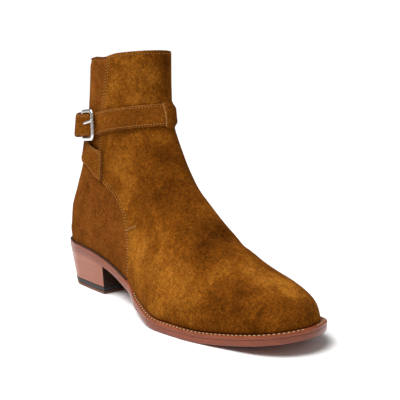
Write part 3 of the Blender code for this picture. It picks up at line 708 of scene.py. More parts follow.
class Shader:
    """A material's nodes, with short calls to add and link them."""

    def __init__(self, name, rough=0.8):
        self.material = bpy.data.materials.new(name)
        self.material.use_nodes = True
        self.tree = self.material.node_tree
        self.shader = self.tree.nodes["Principled BSDF"]
        self.set(Roughness=rough)
        self.coords = self.tree.nodes.new("ShaderNodeTexCoord").outputs["Object"]

    def set(self, **values):
        for key, value in values.items():
            self.shader.inputs[key.replace("_", " ")].default_value = value

    def link(self, source, target):
        self.tree.links.new(source, target)

    def node(self, kind, **inputs):
        made = self.tree.nodes.new(kind)
        for key, value in inputs.items():
            socket = made.inputs[int(key[1:]) if key[1:].isdigit() else key.replace("_", " ")]
            if isinstance(value, bpy.types.NodeSocket):
                self.link(value, socket)
            else:
                socket.default_value = value
        return made

    def noise(self, size, detail=3.0, rough=0.55, distortion=0.0, stretch=(1, 1, 1)):
        """Noise whose grains are about size millimetres."""
        place = self.node("ShaderNodeMapping", Vector=self.coords, Scale=stretch).outputs[0]
        made = self.node("ShaderNodeTexNoise", Vector=place, Scale=1000.0 / size, Detail=detail)
        made.inputs["Roughness"].default_value = rough
        made.inputs["Distortion"].default_value = distortion
        return made.outputs["Fac"]

    def attribute(self, name):
        made = self.tree.nodes.new("ShaderNodeAttribute")
        made.attribute_name = name
        return made.outputs["Fac"]

    def math(self, operation, first, second=0.0, third=0.0):
        made = self.node("ShaderNodeMath", i0=first, i1=second, i2=third)
        made.operation = operation
        return made.outputs[0]

    def span(self, value, low, high, to_low=0.0, to_high=1.0):
        made = self.node("ShaderNodeMapRange", i0=value, i1=low, i2=high, i3=to_low, i4=to_high)
        return made.outputs[0]

    def mix(self, factor, first, second, blend="MIX"):
        made = self.tree.nodes.new("ShaderNodeMix")
        made.data_type = "RGBA"
        made.blend_type = blend
        for socket, value in ((made.inputs[0], factor), (made.inputs[6], first), (made.inputs[7], second)):
            if isinstance(value, bpy.types.NodeSocket):
                self.link(value, socket)
            elif isinstance(value, tuple):
                socket.default_value = (*value, 1.0)
            else:
                socket.default_value = value
        return made.outputs[2]

    def bump(self, height, distance, strength=1.0, below=None):
        made = self.node("ShaderNodeBump", Height=height, Distance=distance * MM, Strength=strength)
        if below is not None:
            self.link(below, made.inputs["Normal"])
        return made.outputs[0]

    def done(self, color=None, rough=None, normal=None):
        for value, name in ((color, "Base Color"), (rough, "Roughness"), (normal, "Normal")):
            if isinstance(value, bpy.types.NodeSocket):
                self.link(value, self.shader.inputs[name])
            elif value is not None:
                self.shader.inputs[name].default_value = (*value, 1.0) if isinstance(value, tuple) else value
        return self.material


def suede(name, light, mid, dark, mottle=1.0):
    """Brushed suede: a short nap of fine grains over soft patches where the nap lies differently, and the
    painted shade stored with the nap patches.
    """
    s = Shader(name, 0.95)
    nap = s.noise(1.4, 4.0, 0.72)
    speck = s.noise(2.6, 3.0, 0.65)
    patch = s.noise(26.0, 3.0, 0.5, 0.6)
    cloud = s.noise(9.0, 3.0, 0.6, 0.4)
    tone = s.math("ADD", s.math("MULTIPLY", patch, 0.75), s.math("MULTIPLY", cloud, 0.45))
    tone = s.math("ADD", tone, s.math("MULTIPLY", speck, 0.2))
    tone = s.span(tone, 0.55, 0.84)
    tone = s.math("ADD", s.math("MULTIPLY", s.math("SUBTRACT", tone, 0.5), 0.42 * mottle), 0.5)
    # The stored nap patches, with painted shade under the buckle and strap and down the shin's front edge
    tone = s.math("ADD", tone, s.attribute("nap"))
    low = s.mix(s.span(tone, 0.0, 0.5), dark, mid)
    color = s.mix(s.span(tone, 0.5, 1.0), low, light)
    grain = s.math("MULTIPLY", s.span(nap, 0.34, 0.66, 0.58, 1.42), s.span(speck, 0.32, 0.68, 0.80, 1.20))
    shade = s.tree.nodes.new("ShaderNodeCombineColor")
    for k in range(3):
        s.link(grain, shade.inputs[k])
    color = s.mix(1.0, color, shade.outputs[0], "MULTIPLY")
    fine = s.bump(nap, 0.35, 0.8)
    normal = s.bump(speck, 0.5, 0.5, fine)
    s.set(Sheen_Weight=0.03, Sheen_Roughness=0.5, Specular_IOR_Level=0.0)
    s.shader.inputs["Sheen Tint"].default_value = (1.0, 0.62, 0.25, 1.0)
    return s.done(color, None, normal)


def leather(name, light, dark, rough, coat=0.0, grain=0.4, streak=None, breast=None):
    """Smooth leather or stacked leather edge, with fine pores and soft colour drift, and painted shade on
    faces turned towards the toe when a breast colour is given.
    """
    s = Shader(name, rough)
    pores = s.noise(0.7, 3.0, 0.6)
    drift = s.noise(14.0, 3.0, 0.55, 0.3, (1, 1, 2.5))
    tone = s.span(drift, 0.3, 0.7)
    if streak:
        lines = s.noise(streak, 3.0, 0.6, 0.1, (0.06, 0.06, 1.0))
        streaks = s.math("MULTIPLY", s.span(lines, 0.3, 0.7), 0.55)
        tone = s.math("ADD", s.math("MULTIPLY", tone, 0.45), streaks)
    color = s.mix(tone, dark, light)
    # Painted shade: faces turned towards the toe, as the heel's breast, take the dark breast colour
    if breast:
        facing = s.tree.nodes.new("ShaderNodeNewGeometry").outputs["Normal"]
        ahead = s.node("ShaderNodeSeparateXYZ", i0=facing).outputs[1]
        color = s.mix(s.span(ahead, -0.9, -0.6, 1.0, 0.0), color, breast)
    shine = s.span(drift, 0.3, 0.7, rough * 0.8, min(1.0, rough * 1.25))
    s.set(Specular_IOR_Level=0.3)
    if coat:
        s.set(Coat_Weight=coat, Coat_Roughness=0.2)
    return s.done(color, shine, s.bump(pores, 0.12, grain))


def thread(name, color):
    s = Shader(name, 0.8)
    s.set(Specular_IOR_Level=0.1)
    twist = s.noise(0.5, 2.0, 0.6)
    shaded = tuple(0.72 * part for part in color)
    return s.done(s.mix(s.span(twist, 0.35, 0.65), shaded, color), None, s.bump(twist, 0.1, 0.5))


def steel(name):
    s = Shader(name, 0.22)
    s.set(Metallic=1.0)
    rub = s.noise(1.5, 4.0, 0.7)
    return s.done((0.76, 0.75, 0.73), s.span(rub, 0.3, 0.7, 0.2, 0.36), s.bump(rub, 0.02, 0.3))


def rubber(name):
    s = Shader(name, 0.6)
    grit = s.noise(0.8, 3.0, 0.6)
    color = s.mix(s.span(grit, 0.3, 0.7), (0.006, 0.006, 0.006), (0.020, 0.018, 0.017))
    return s.done(color, None, s.bump(grit, 0.15, 0.6))


SUEDE = suede("suede_front", (0.315, 0.114, 0.0120), (0.158, 0.0465, 0.0040), (0.066, 0.0180, 0.0016))
QUARTER = suede("suede_quarter", (0.250, 0.080, 0.0120), (0.150, 0.043, 0.0056), (0.068, 0.018, 0.0022), 0.8)
STRAP = suede("suede_straps", (0.270, 0.090, 0.0120), (0.165, 0.049, 0.0052), (0.085, 0.024, 0.0027), 0.7)
CUT_EDGE = suede("suede_cut_edge", (0.38, 0.18, 0.055), (0.27, 0.11, 0.028), (0.15, 0.05, 0.010), 0.6)
DARK_EDGE = suede("collar_edge", (0.15, 0.055, 0.012), (0.085, 0.028, 0.006), (0.04, 0.013, 0.003), 0.6)
LINING = leather("lining", (0.34, 0.19, 0.095), (0.25, 0.13, 0.06), 0.6, 0.0, 0.5)
FOOTBED = leather("footbed", (0.27, 0.14, 0.065), (0.19, 0.09, 0.04), 0.5, 0.0, 0.4)
SOLE_EDGE = leather("sole_edge", (0.27, 0.062, 0.024), (0.13, 0.027, 0.010), 0.36, 0.15, 0.3, 1.2)
WELT_TOP = leather("welt_leather", (0.29, 0.070, 0.026), (0.14, 0.031, 0.011), 0.40, 0.12, 0.4, 1.5)
# The heel's last colour is painted shade on its breast
HEEL = leather(
    "heel_leather", (0.33, 0.108, 0.056), (0.27, 0.082, 0.040), 0.34, 0.12, 0.15, 2.4, (0.022, 0.007, 0.003)
)
TOP_LIFT = leather("top_lift_leather", (0.16, 0.055, 0.024), (0.09, 0.030, 0.013), 0.5, 0.1, 0.4, 1.0)
RUBBER = rubber("rubber")
STEEL = steel("steel")
THREAD = thread("thread_ochre", (0.44, 0.205, 0.055))
WELT_THREAD = thread("thread_pale", (0.62, 0.42, 0.20))
# Painted shade for the dark line where the upper meets the heel's seat
SEAT_SHADE = leather("seat_shade_colour", (0.035, 0.012, 0.005), (0.020, 0.007, 0.003), 0.6)
# Painted shade in the stitch holes between stitches
HOLE_SHADE = thread("stitch_hole_shade", (0.030, 0.009, 0.0015))

LINES = feather_lines()


def dense_section(station):
    return section(LINES, station, np.linspace(0.0, 1.0, 521))


def seam_along(height):
    return table(SEAM_ROWS, SEAM_COLUMNS, "along", height)


def arc_of(points):
    return np.concatenate([[0.0], np.cumsum(np.linalg.norm(np.diff(points, axis=0), axis=1))])


def seam_arcs(points, arc):
    """Arc lengths at which a section crosses the panel's edge on the outer and on the inner side."""
    ahead = points[:, 1] - seam_along(points[:, 2])
    found = []
    for order in (1, -1):
        run, at = ahead[::order], arc[::order]
        half = len(run) // 2 + 1
        behind = np.nonzero(run[:half] < 0)[0]
        if len(behind) == 0:
            found.append(at[0])
            continue
        k = behind[-1]
        share = -run[k] / (run[k + 1] - run[k])
        found.append(at[k] + share * (at[k + 1] - at[k]))
    return found


def at_arc(points, arc, places):
    return np.stack([np.interp(places, arc, points[:, k]) for k in range(3)], axis=-1)


TOE_ROWS = -1.0 + 0.17 * np.linspace(0.0, 1.0, 46) ** 1.15
ROWS = np.concatenate([TOE_ROWS, np.linspace(-0.83, 0.0, 150)[1:], np.linspace(0.0, 1.0, 100)[1:]])
EDGE_PROFILE = ((0.0, 1.7), (0.0, 1.1), (0.03, 0.75), (0.15, 0.35), (0.5, 0.08), (1.1, 0.0), (1.9, 0.0))
FRONT_COLUMNS = 168
QUARTER_COLUMNS = 56
UNDERLAP = 3.5

SECTIONS = [dense_section(station) for station in ROWS]
ARCS = [arc_of(points) for points in SECTIONS]
SEAMS = [seam_arcs(points, arc) for points, arc in zip(SECTIONS, ARCS)]


def front_grid():
    """Points and depths of the front panel, from its outer edge over the ridge to its inner edge."""
    grid, depth = [], []
    shift = np.array([place for place, _ in EDGE_PROFILE])
    sink = np.array([down for _, down in EDGE_PROFILE])
    for points, arc, (low, high) in zip(SECTIONS, ARCS, SEAMS):
        inside = np.linspace(low + 2.8, high - 2.8, FRONT_COLUMNS)
        places = np.concatenate([low + shift, inside, (high - shift)[::-1]])
        grid.append(at_arc(points, arc, places))
        depth.append(np.concatenate([sink, np.zeros(FRONT_COLUMNS), sink[::-1]]))
    grid = np.array(grid)
    return to_row(grid[..., 0], grid[..., 1], grid[..., 2]), np.array(depth)


def quarter_grids():
    """The two halves of the quarter, from the feather or the back line to just under the front panel."""
    halves = []
    for which in (0, 1):
        grid = []
        for points, arc, crossings in zip(SECTIONS, ARCS, SEAMS):
            if which == 0:
                places = np.linspace(0.0, crossings[0] + UNDERLAP, QUARTER_COLUMNS)
                if crossings[0] <= 0:
                    places = places * 0.0
            else:
                places = np.linspace(arc[-1], crossings[1] - UNDERLAP, QUARTER_COLUMNS)
                if crossings[1] >= arc[-1]:
                    places = places * 0.0 + arc[-1]
            grid.append(at_arc(points, arc, places))
        grid = np.array(grid)
        halves.append(to_row(grid[..., 0], grid[..., 1], grid[..., 2]))
    return halves


FORM = outer_grid(ROWS, np.linspace(0.0, 1.0, 241))
FORM_NORMALS = grid_normals(FORM, int(np.searchsorted(ROWS, 0.0)))
FORM_NORMALS[0] = (0.0, -1.0, 0.0)


FORM_TREE = BVHTree.FromPolygons([Vector(point) for point in FORM.reshape(-1, 3)], strips(*FORM.shape[:2]))
SHAFT = Shaft(FORM_TREE)
AXES = buckle_axes(SHAFT)


def on_form(places):
    """The points of the plain form nearest to the places."""
    return np.array([FORM_TREE.find_nearest(Vector(place))[0] for place in places])


def smooth_rows(values, rounds):
    for _ in range(rounds):
        values[1:-1] = (values[:-2] + 2 * values[1:-1] + values[2:]) / 4
        values[:, 1:-1] = (values[:, :-2] + 2 * values[:, 1:-1] + values[:, 2:]) / 4
    return values


def form_normals(points):
    """Normals at a grid's points, each taken from the nearest point of the same section of the form."""
    found = []
    for near, normals, row in zip(FORM, FORM_NORMALS, points):
        gaps = ((near[None] - row[:, None]) ** 2).sum(axis=2)
        found.append(normals[np.argmin(gaps, axis=1)])
    return np.array(found)


def turn_of(points):
    """Degrees round the shaft's axis, 0 at the shin and 90 on the outer side."""
    side = points[..., 0] - HEEL_AXIS_SIDE
    along = SOLE_LENGTH / 2 - points[..., 1]
    return np.degrees(np.arctan2(-side, along - SHAFT_AXIS_ALONG))


def tube(name, path, away, high, wide, material, segments=10):
    """A solid round run along a path, with its flat ends closed."""
    tangent = np.gradient(path, axis=0)
    tangent /= np.linalg.norm(tangent, axis=1, keepdims=True)
    away = away - tangent * (away * tangent).sum(axis=1, keepdims=True)
    away /= np.linalg.norm(away, axis=1, keepdims=True)
    side = np.cross(tangent, away)
    angles = np.linspace(0.0, 2 * math.pi, segments, endpoint=False)
    loops = np.stack([path + away * high * math.cos(a) + side * wide * math.sin(a) for a in angles], axis=1)
    faces = flat_ended(len(loops), segments)
    return outward_faces(mesh_piece(name, loops.reshape(-1, 3), faces, [material], None, (), None, 0.0, 60.0))


def rim_rows(last, normal, depth):
    """Rows that carry a sheet over the collar's rounded edge and a little way down inside."""
    half = WALL / 2
    middle_line = last - normal * (half - depth)
    up = np.array([0.0, 0.0, 1.0])
    rows = []
    for angle in np.linspace(0.0, math.pi, RIM_STEPS)[1:]:
        over = normal * half * math.cos(angle) + up * half * RIM_CROWN * math.sin(angle)
        rows.append(middle_line + over)
    rows.append(rows[-1] + normal * RIM_LEAN - up * RIM_REACH)
    return rows


def laid(grid, depth):
    """A sheet laid on the worn form, sunk by depth, with its outward directions."""
    normal = smooth_rows(form_normals(grid), 2)
    normal /= np.linalg.norm(normal, axis=2, keepdims=True)
    return grid - normal * depth + normal * relief(grid)[..., None], normal


def near_collar():
    """For each section, 0 below the collar's last stretch and rising to 1 at its edge."""
    return ease((ROWS[:, None] - COLLAR_BEGINS) / (1.0 - COLLAR_BEGINS))


def front_piece():
    """The front panel with its rolled edges, dipping a little at the collar beside its seams."""
    front, depth = front_grid()
    placed, normal = laid(front, depth[..., None])
    arc = arc_of(placed[-1])
    placed[..., 2] -= COLLAR_SEAM_DIP * ease(1.0 - np.minimum(arc, arc[-1] - arc) / 13.0) * near_collar()
    rim = rim_rows(placed[-1], normal[-1], 0.0)
    full = np.concatenate([placed, np.array(rim)])
    rows, columns = full.shape[:2]
    faces = [face[::-1] for face in strips(rows, columns)]
    slots = np.zeros((rows - 1, columns - 1), int)
    slots[:, :2] = 1
    slots[:, -2:] = 1
    slots[-len(rim) + 1:, :] = 2
    materials = [SUEDE, CUT_EDGE, DARK_EDGE]
    points = full.reshape(-1, 3)
    item = mesh_piece("upper_front", points, faces, materials, "suede_tan", ("upper",), slots.ravel(), 0.02)
    lay_nap_and_shade(item)
    return placed, normal


def quarters_piece():
    """Both quarters as one piece, a step below the front panel and stopping lower at the collar."""
    points, faces, slots, sheets = [], [], [], []
    for which, half in enumerate(quarter_grids()):
        placed, normal = laid(half, PANEL_STEP)
        turned = np.abs(turn_of(placed[-1]))
        rise = ease((turned - 86.0) / 30.0) * (1.0 - 0.5 * ease((turned - 150.0) / 30.0))
        placed[..., 2] -= COLLAR_DROP * (1.0 - rise) * near_collar()
        placed -= normal * (COLLAR_TUCK * ease((ROWS[:, None, None] - 0.965) / 0.035))
        sheets.append((placed, normal))
        rim = rim_rows(placed[-1], normal[-1], PANEL_STEP)
        full = np.concatenate([placed, np.array(rim)])
        rows, columns = full.shape[:2]
        grid_faces = strips(rows, columns, start=sum(len(part) for part in points))
        faces += [face[::-1] for face in grid_faces] if which == 0 else grid_faces
        marks = np.zeros((rows - 1, columns - 1), int)
        marks[-len(rim) + 1:, :] = 1
        points.append(full.reshape(-1, 3))
        slots.append(marks.ravel())
    points, slots = np.concatenate(points), np.concatenate(slots)
    item = mesh_piece("upper_quarters", points, faces, [QUARTER, DARK_EDGE], "suede_tan", (), slots, 0.02)
    lay_nap_and_shade(item)
    return sheets


def crease(points, depth, width, places):
    """A soft trough along the places, with a low ridge on either side."""
    line = on_form(to_row(*np.array(places).T))
    steps = np.linspace(0.0, 1.0, 25)
    knots = np.linspace(0.0, 1.0, len(line))
    run = np.stack([smooth(knots, line[:, k], steps) for k in range(3)], axis=1)
    best = np.full(points.shape[:-1], 1e9)
    share = np.zeros(points.shape[:-1])
    for start, end, at in zip(run[:-1], run[1:], steps[:-1]):
        way = end - start
        t = np.clip(((points - start) @ way) / (way @ way), 0.0, 1.0)
        gap = np.linalg.norm(points - start - t[..., None] * way, axis=-1)
        nearer = gap < best
        best = np.where(nearer, gap, best)
        share = np.where(nearer, at + t * (steps[1] - steps[0]), share)
    fade = np.sin(np.pi * np.clip(share, 0.02, 0.98)) ** 0.6
    trough = -np.exp(-((best / width) ** 2))
    ridge = 0.45 * np.exp(-(((best - 1.9 * width) / width) ** 2))
    return depth * fade * (trough + ridge)


def relief(points):
    """How far the worn upper stands proud of its plain form at each place."""
    total = np.zeros(points.shape[:-1])
    for depth, width, places in CREASES:
        total += crease(points, depth, width, places)
    return total


def nap_and_shade_at(points):
    """How much lighter or darker the suede is painted at each place: nap patches, and painted shade under the
    buckle and straps and down the shin's front edge.
    """
    total = np.zeros(len(points))
    for side, along, height, radius, amount in NAP_AND_SHADE_ROWS:
        gap = np.linalg.norm(points - to_row(side, along, height), axis=1)
        total += amount * np.exp(-((gap / radius) ** 2))
    return total


def lay_nap_and_shade(item):
    """Stores the painted nap patches and painted shade on a piece for its suede, under the attribute nap."""
    points = np.empty(len(item.data.vertices) * 3)
    item.data.vertices.foreach_get("co", points)
    values = nap_and_shade_at(points.reshape(-1, 3) / MM)
    item.data.attributes.new("nap", "FLOAT", "POINT").data.foreach_set("value", values)


PLACES = stations(200)


def level(inset, height):
    return loop_of(edges(PLACES, inset), height)


def front_share(along):
    """0 over the heel, where the sole's edges are sanded flush, and 1 from the waist forward."""
    return ease((along - 78.0) / 30.0)


def sanded(over_heel, in_front):
    return lambda at: over_heel + (in_front - over_heel) * front_share(at)


def sole_pieces():
    plate_piece(
        "sole_leather",
        [
            level(sanded(1.1, 2.2), underside),
            level(sanded(0.95, 1.1), lambda at: underside(at) + 0.25),
            level(sanded(0.85, 0.6), lambda at: underside(at) + 0.9),
            level(sanded(0.7, 0.5), lambda at: underside(at) + 2.2),
            level(sanded(0.55, 0.5), lambda at: outsole_top(at) - 1.0),
            level(sanded(0.55, 0.58), lambda at: outsole_top(at) - 0.25),
            level(sanded(0.62, 0.85), outsole_top),
        ],
        [SOLE_EDGE],
        "leather_sole",
        ("outsole",),
    )
    ring_piece(
        "welt_strip",
        [
            level(sanded(0.55, 0.75), lambda at: outsole_top(at) + 0.02),
            level(sanded(0.48, 0.42), lambda at: outsole_top(at) + 0.3),
            level(sanded(0.45, 0.3), lambda at: outsole_top(at) + 1.0),
            level(sanded(0.45, 0.3), lambda at: welt_top(at) - 0.9),
            level(sanded(0.5, 0.55), lambda at: welt_top(at) - 0.3),
            level(sanded(0.7, 1.1), welt_top),
            level(sanded(0.9, 1.9), welt_top),
            level(sanded(1.0, 2.3), lambda at: welt_top(at) - WELT_GROOVE * front_share(at)),
            level(sanded(1.1, 2.7), lambda at: welt_top(at) - WELT_GROOVE * front_share(at)),
            level(sanded(1.2, 3.1), welt_top),
            level(inside_wall, welt_top),
            level(inside_wall, lambda at: outsole_top(at) + GAP),
        ],
        [WELT_TOP],
        "leather_welt",
        ("welt",),
    )
    plate_piece(
        "footbed_leather",
        [
            level(lambda at: inside_wall(at) + 2 * GAP, lambda at: outsole_top(at) + GAP),
            level(lambda at: inside_wall(at) + 2 * GAP, lambda at: welt_top(at) + 0.6),
            level(lambda at: inside_wall(at) + 4 * GAP, lambda at: welt_top(at) + INSOLE_THICK - 0.6),
            level(lambda at: inside_wall(at) + 9 * GAP, lambda at: welt_top(at) + INSOLE_THICK),
        ],
        [FOOTBED],
        "leather_lining",
        ("insole",),
    )


def heel_pair(height, extra=0.0):
    """The heel's two edges at a height, moved in by extra and ending in a straight breast."""
    read = lambda name: float(table(HEEL_ROWS, HEEL_COLUMNS, name, height))
    along = stations(60, read("breast"))
    share = ease(along / 34.0)
    inset = read("back_inset") * (1 - share) + read("side_inset") * share + extra
    pair = edges(along, lambda at: inset)
    for edge in pair:
        edge[-1, 1] = read("breast") - extra
    return pair


def stack_level(height, extra, low):
    """A level of the stack, following the outsole's underside over it instead of running into it."""
    share = (height - low) / (HEEL_ROWS[1][0] - 1.0 - low)
    follow = lambda at: np.minimum(height, low + share * (underside(at) - GAP - low))
    return loop_of(heel_pair(height, extra), follow)


def heel_pieces():
    rubber_low = TOP_LIFT_THICK + GAP
    stack_low = TOP_LIFT_THICK + RUBBER_THICK + 2 * GAP
    for name, low, high, material, slot, node in (
        ("heel_top_lift", 0.0, TOP_LIFT_THICK, TOP_LIFT, "leather_sole", "top_lift"),
        ("heel_rubber_layer", rubber_low, rubber_low + RUBBER_THICK, RUBBER, "rubber_dark", "heel_rubber"),
    ):
        levels = ((low, 0.5), (low + 0.12, 0.15), (low + 0.4, 0.0), (high - 0.3, 0.0), (high, 0.25))
        loops = [loop_of(heel_pair(height, extra), height) for height, extra in levels]
        plate_piece(name, loops, [material], slot, (node,))
    lifts = np.linspace(stack_low, HEEL_ROWS[1][0] - 1.0, HEEL_LIFTS + 1)
    loops = [loop_of(heel_pair(stack_low, 0.4), stack_low)]
    for low, high in zip(lifts[:-1], lifts[1:]):
        for height, extra in ((low + 0.3, 0.0), ((low + high) / 2, -0.02), (high - 0.3, 0.0), (high, 0.04)):
            loops.append(stack_level(height, extra, stack_low))
    loops[-1] = loop_of(heel_pair(HEEL_ROWS[1][0], 0.2), lambda at: underside(at) - 0.12)
    plate_piece("heel_stacked_leather", loops, [HEEL], "leather_heel", ("heel_stack",))


def painted_seat_shade():
    """A dark line of painted shade where the upper meets the heel's seat."""
    outer, inner = (edge[edge[:, 1] < SEAT_ENDS_ALONG] for _, edge in LINES)
    along = np.concatenate([outer[::-1], inner[1:]])
    path = to_row(along[:, 0], along[:, 1], feather_height(along[:, 1]) + 0.1)
    tube("seat_shade_line", path, np.tile((0.0, 0.0, 1.0), (len(path), 1)), 0.55, 0.95, SEAT_SHADE)


def band_rows(rows, start, end, step):
    turns = np.linspace(start, end, int(abs(end - start) / step) + 2)
    read = lambda name: table(rows, STRAP_COLUMNS, name, turns)
    return turns, read("height"), read("half"), read("lift")


def strap_profile():
    """A strap's section as (level, share of the thickness, crown): pressed edges, crowned face, flat back."""
    edge = [(1.0, 0.35, 0.0), (1.0, 0.75, 0.0), (0.97, 0.93, 0.0), (0.9, 1.0, 0.0)]
    face = [(u, 1.0, 0.12 * (1 - u * u)) for u in np.linspace(-0.78, 0.78, 13)]
    back = [(0.93, 0.05, 0.0)] + [(u, 0.0, 0.0) for u in np.linspace(0.8, -0.8, 7)] + [(-0.93, 0.05, 0.0)]
    return [(-u, share, crown) for u, share, crown in edge] + face + edge[::-1] + back


# The faces of that section that show the strap's cut edges
STRAP_EDGE_FACES = (0, 1, 18, 19)


def strap_piece(name, rows, start, end, node):
    """A suede strap round the shaft from one turn to another."""
    turns, height, half, lift = band_rows(rows, start, end, 0.9)
    loops = []
    for u, share, crown in strap_profile():
        face, away = SHAFT.path(turns, height + half * u, lift)
        loops.append(face + away * (STRAP_THICK * share + crown))
    loops = np.array(loops).transpose(1, 0, 2)
    count, size = loops.shape[:2]
    faces = flat_ended(count, size)
    slots = [int(j in STRAP_EDGE_FACES) for _ in range(count - 1) for j in range(size)] + [1, 1]
    points = loops.reshape(-1, 3)
    item = mesh_piece(name, points, faces, [STRAP, CUT_EDGE], "suede_strap", (node,), slots, 0.0, 60.0)
    return outward_faces(item)


def tunnel_lip(height, reach, width):
    """The cut edge of the tunnel's mouth, bulging towards the strap in its middle."""
    path, away = [], []
    for u in np.linspace(-0.76, 0.76, 31):
        face, out = SHAFT.spot(1.2 + 2.2 * u * u, height + reach * u, 0.0)
        path.append(face + out * (TUNNEL_RISE * float(ease((1 - abs(u)) / width)) - 0.55))
        away.append(out)
    tube("strap_tunnel_lip", np.array(path), np.array(away), 0.75, 0.8, CUT_EDGE)


def tunnel_piece():
    """The panel's swell over the strap that runs inside it, with its open ends."""
    turns = np.linspace(TUNNEL_ROWS[0][0], TUNNEL_ROWS[-1][0], 118)
    read = lambda name: table(TUNNEL_ROWS, STRAP_COLUMNS, name, turns)
    reach = read("half") + TUNNEL_MARGIN + 1.1
    width = 0.42 + 0.43 * ease((-turns - 6.0) / 22.0)
    outer_rows, inner_rows = [], []
    for u in np.linspace(-1.0, 1.0, 33):
        face, away = SHAFT.path(turns, read("height") + reach * u, np.zeros(len(turns)))
        rise = TUNNEL_RISE * ease((1 - abs(u)) / width)[:, None] - 0.12
        outer_rows.append(face + away * rise)
        inner_rows.append(face + away * np.maximum(rise - TUNNEL_SKIN, -0.5))
    loops = np.array(outer_rows + inner_rows[::-1]).transpose(1, 0, 2)
    count, size = loops.shape[:2]
    faces = rung_solid(count, size)
    slots = [0] * ((count - 1) * size) + [1] * (2 * (size // 2 - 1))
    points = loops.reshape(-1, 3)
    item = mesh_piece("strap_tunnel", points, faces, [SUEDE, CUT_EDGE], "suede_tan", (), slots, 0.0, 50.0)
    lay_nap_and_shade(item)
    outward_faces(item)
    tunnel_lip(read("height")[-1], reach[-1], width[-1])


def lining_piece():
    """The leather lining, a thin sheet just inside the upper's wall."""
    places = np.concatenate([np.linspace(-1.0, 0.0, 70), np.linspace(0.0, 1.0, 40)[1:]])
    outer = outer_grid(places, np.linspace(0.0, 1.0, 97))
    closed_from = int(np.searchsorted(places, 0.0))
    normal = grid_normals(outer, closed_from)
    normal[0] = (0.0, -1.0, 0.0)
    sheets = [outer - normal * depth for depth in (WALL - LINING_THICK, WALL)]
    for sheet in sheets:
        sheet[-1, :, 2] -= 1.0
    rows, columns = outer.shape[:2]
    base = rows * columns
    faces = strips(rows, columns)
    faces += [face[::-1] for face in strips(rows, columns, start=base)]
    for j in (0, columns - 1):
        for i in range(closed_from):
            here, above = i * columns + j, (i + 1) * columns + j
            faces.append((here, above, base + above, base + here))
    for k in range(base - columns, base - 1):
        faces.append((k, k + 1, base + k + 1, base + k))
    points = np.concatenate([sheet.reshape(-1, 3) for sheet in sheets])
    item = mesh_piece("upper_lining", points, faces, [LINING], "leather_lining", (), None, 0.02)
    return outward_faces(item)


def buckle_frame_piece():
    start, forward, rise, out, length = AXES
    near, far, tall = BUCKLE_CORNER, length - BUCKLE_CORNER, BUCKLE_HALF_HEIGHT - BUCKLE_CORNER
    corners = ((far, tall, 0.0), (near, tall, 90.0), (near, -tall, 180.0), (far, -tall, 270.0))
    round_bar = np.linspace(0.0, 2 * math.pi, 16, endpoint=False)
    loops = []
    for across, up, first in corners:
        for angle in np.radians(np.linspace(first, first + 90.0, 12)):
            turned = forward * math.cos(angle) + rise * math.sin(angle)
            centre = start + forward * across + rise * up + turned * BUCKLE_CORNER
            thick, wide = out * BUCKLE_BAR_HALF, turned * BUCKLE_BAR_WIDE
            loops.append([centre + thick * math.cos(a) + wide * math.sin(a) for a in round_bar])
    ring_piece("buckle_frame_bar", np.array(loops), [STEEL], "steel_polished", ("buckle_frame",), 80.0)


def prong_piece():
    start, forward, rise, out, length = AXES
    coarse = prong_path(length)
    arc = arc_of(coarse)
    fine = np.linspace(0.0, arc[-1], 70)
    path = np.stack([smooth(arc, coarse[:, k], fine) for k in (0, 1)], axis=1)
    tangent = np.gradient(path, axis=0)
    tangent /= np.linalg.norm(tangent, axis=1)[:, None]
    angles = np.linspace(0.0, 2 * math.pi, 14, endpoint=False)
    loops = []
    for k, (ahead, lift) in enumerate(path):
        near_tip = min(1.0, (len(path) - 1 - k) / 5.0 + 0.45)
        centre = start + forward * ahead + out * lift + rise * (PRONG_RISE * max(0.0, ahead) / length)
        side = -forward * tangent[k, 1] + out * tangent[k, 0]
        thick, wide = PRONG_THICK / 2 * near_tip, PRONG_HALF_WIDTH * near_tip
        loops.append([centre + side * thick * math.cos(a) + rise * wide * math.sin(a) for a in angles])
    points = np.concatenate(loops)
    faces = flat_ended(len(loops), len(angles))
    replaced = ("buckle_prong",)
    item = mesh_piece("buckle_prong_bar", points, faces, [STEEL], "steel_polished", replaced, None, 0.0, 80.0)
    outward_faces(item)


def chape_piece():
    """The folded chape: over the rear bar, with its lap pressed on the run that goes round the back."""
    start, forward, rise, out, _ = AXES
    radius = BUCKLE_BAR_HALF + BAR_CLEARANCE
    turns = np.linspace(CHAPE_ROWS[0][0] + 3.0, CHAPE_ROWS[-1][0], 90)
    read = lambda name: table(CHAPE_ROWS, STRAP_COLUMNS, name, turns)
    bends = [math.radians(angle) for angle in range(0, 181, 10)]
    near_rows, far_rows = [], []
    levels = np.linspace(-1.0, 1.0, 15)
    for u in levels:
        face, away = SHAFT.path(turns, read("height") + read("half") * u, read("lift"))
        centre = start + rise * (CHAPE_HALF * u + CHAPE_ROWS[0][1] - start[2])
        reach = lambda r: [centre + (out * math.cos(a) + forward * math.sin(a)) * r for a in bends]
        lap_near = [centre - forward * back + out * (radius - drop) for back, drop in CHAPE_LAP]
        lap_far = [point + out * CHAPE_THICK for point in lap_near]
        near_rows.append(lap_near + reach(radius) + list(face + away * CHAPE_THICK))
        far_rows.append(lap_far + reach(radius + CHAPE_THICK) + list(face))
    near, far = np.array(near_rows), np.array(far_rows)
    shares = np.where(np.abs(levels) < 0.99, 1.0, 0.65)[:, None, None]
    middle_face = (near + far) / 2
    near = middle_face + (near - middle_face) * shares
    far = middle_face + (far - middle_face) * shares
    loops = np.concatenate([near, far[::-1]]).transpose(1, 0, 2)
    faces = rung_solid(*loops.shape[:2])
    points, node = loops.reshape(-1, 3), ("buckle_chape",)
    item = mesh_piece("buckle_chape_leather", points, faces, [STRAP], "suede_strap", node, None, 0.0, 50.0)
    outward_faces(item)
    cut = item.modifiers.new("slot", "BOOLEAN")
    cut.operation, cut.solver, cut.object = "DIFFERENCE", "EXACT", slot_box()


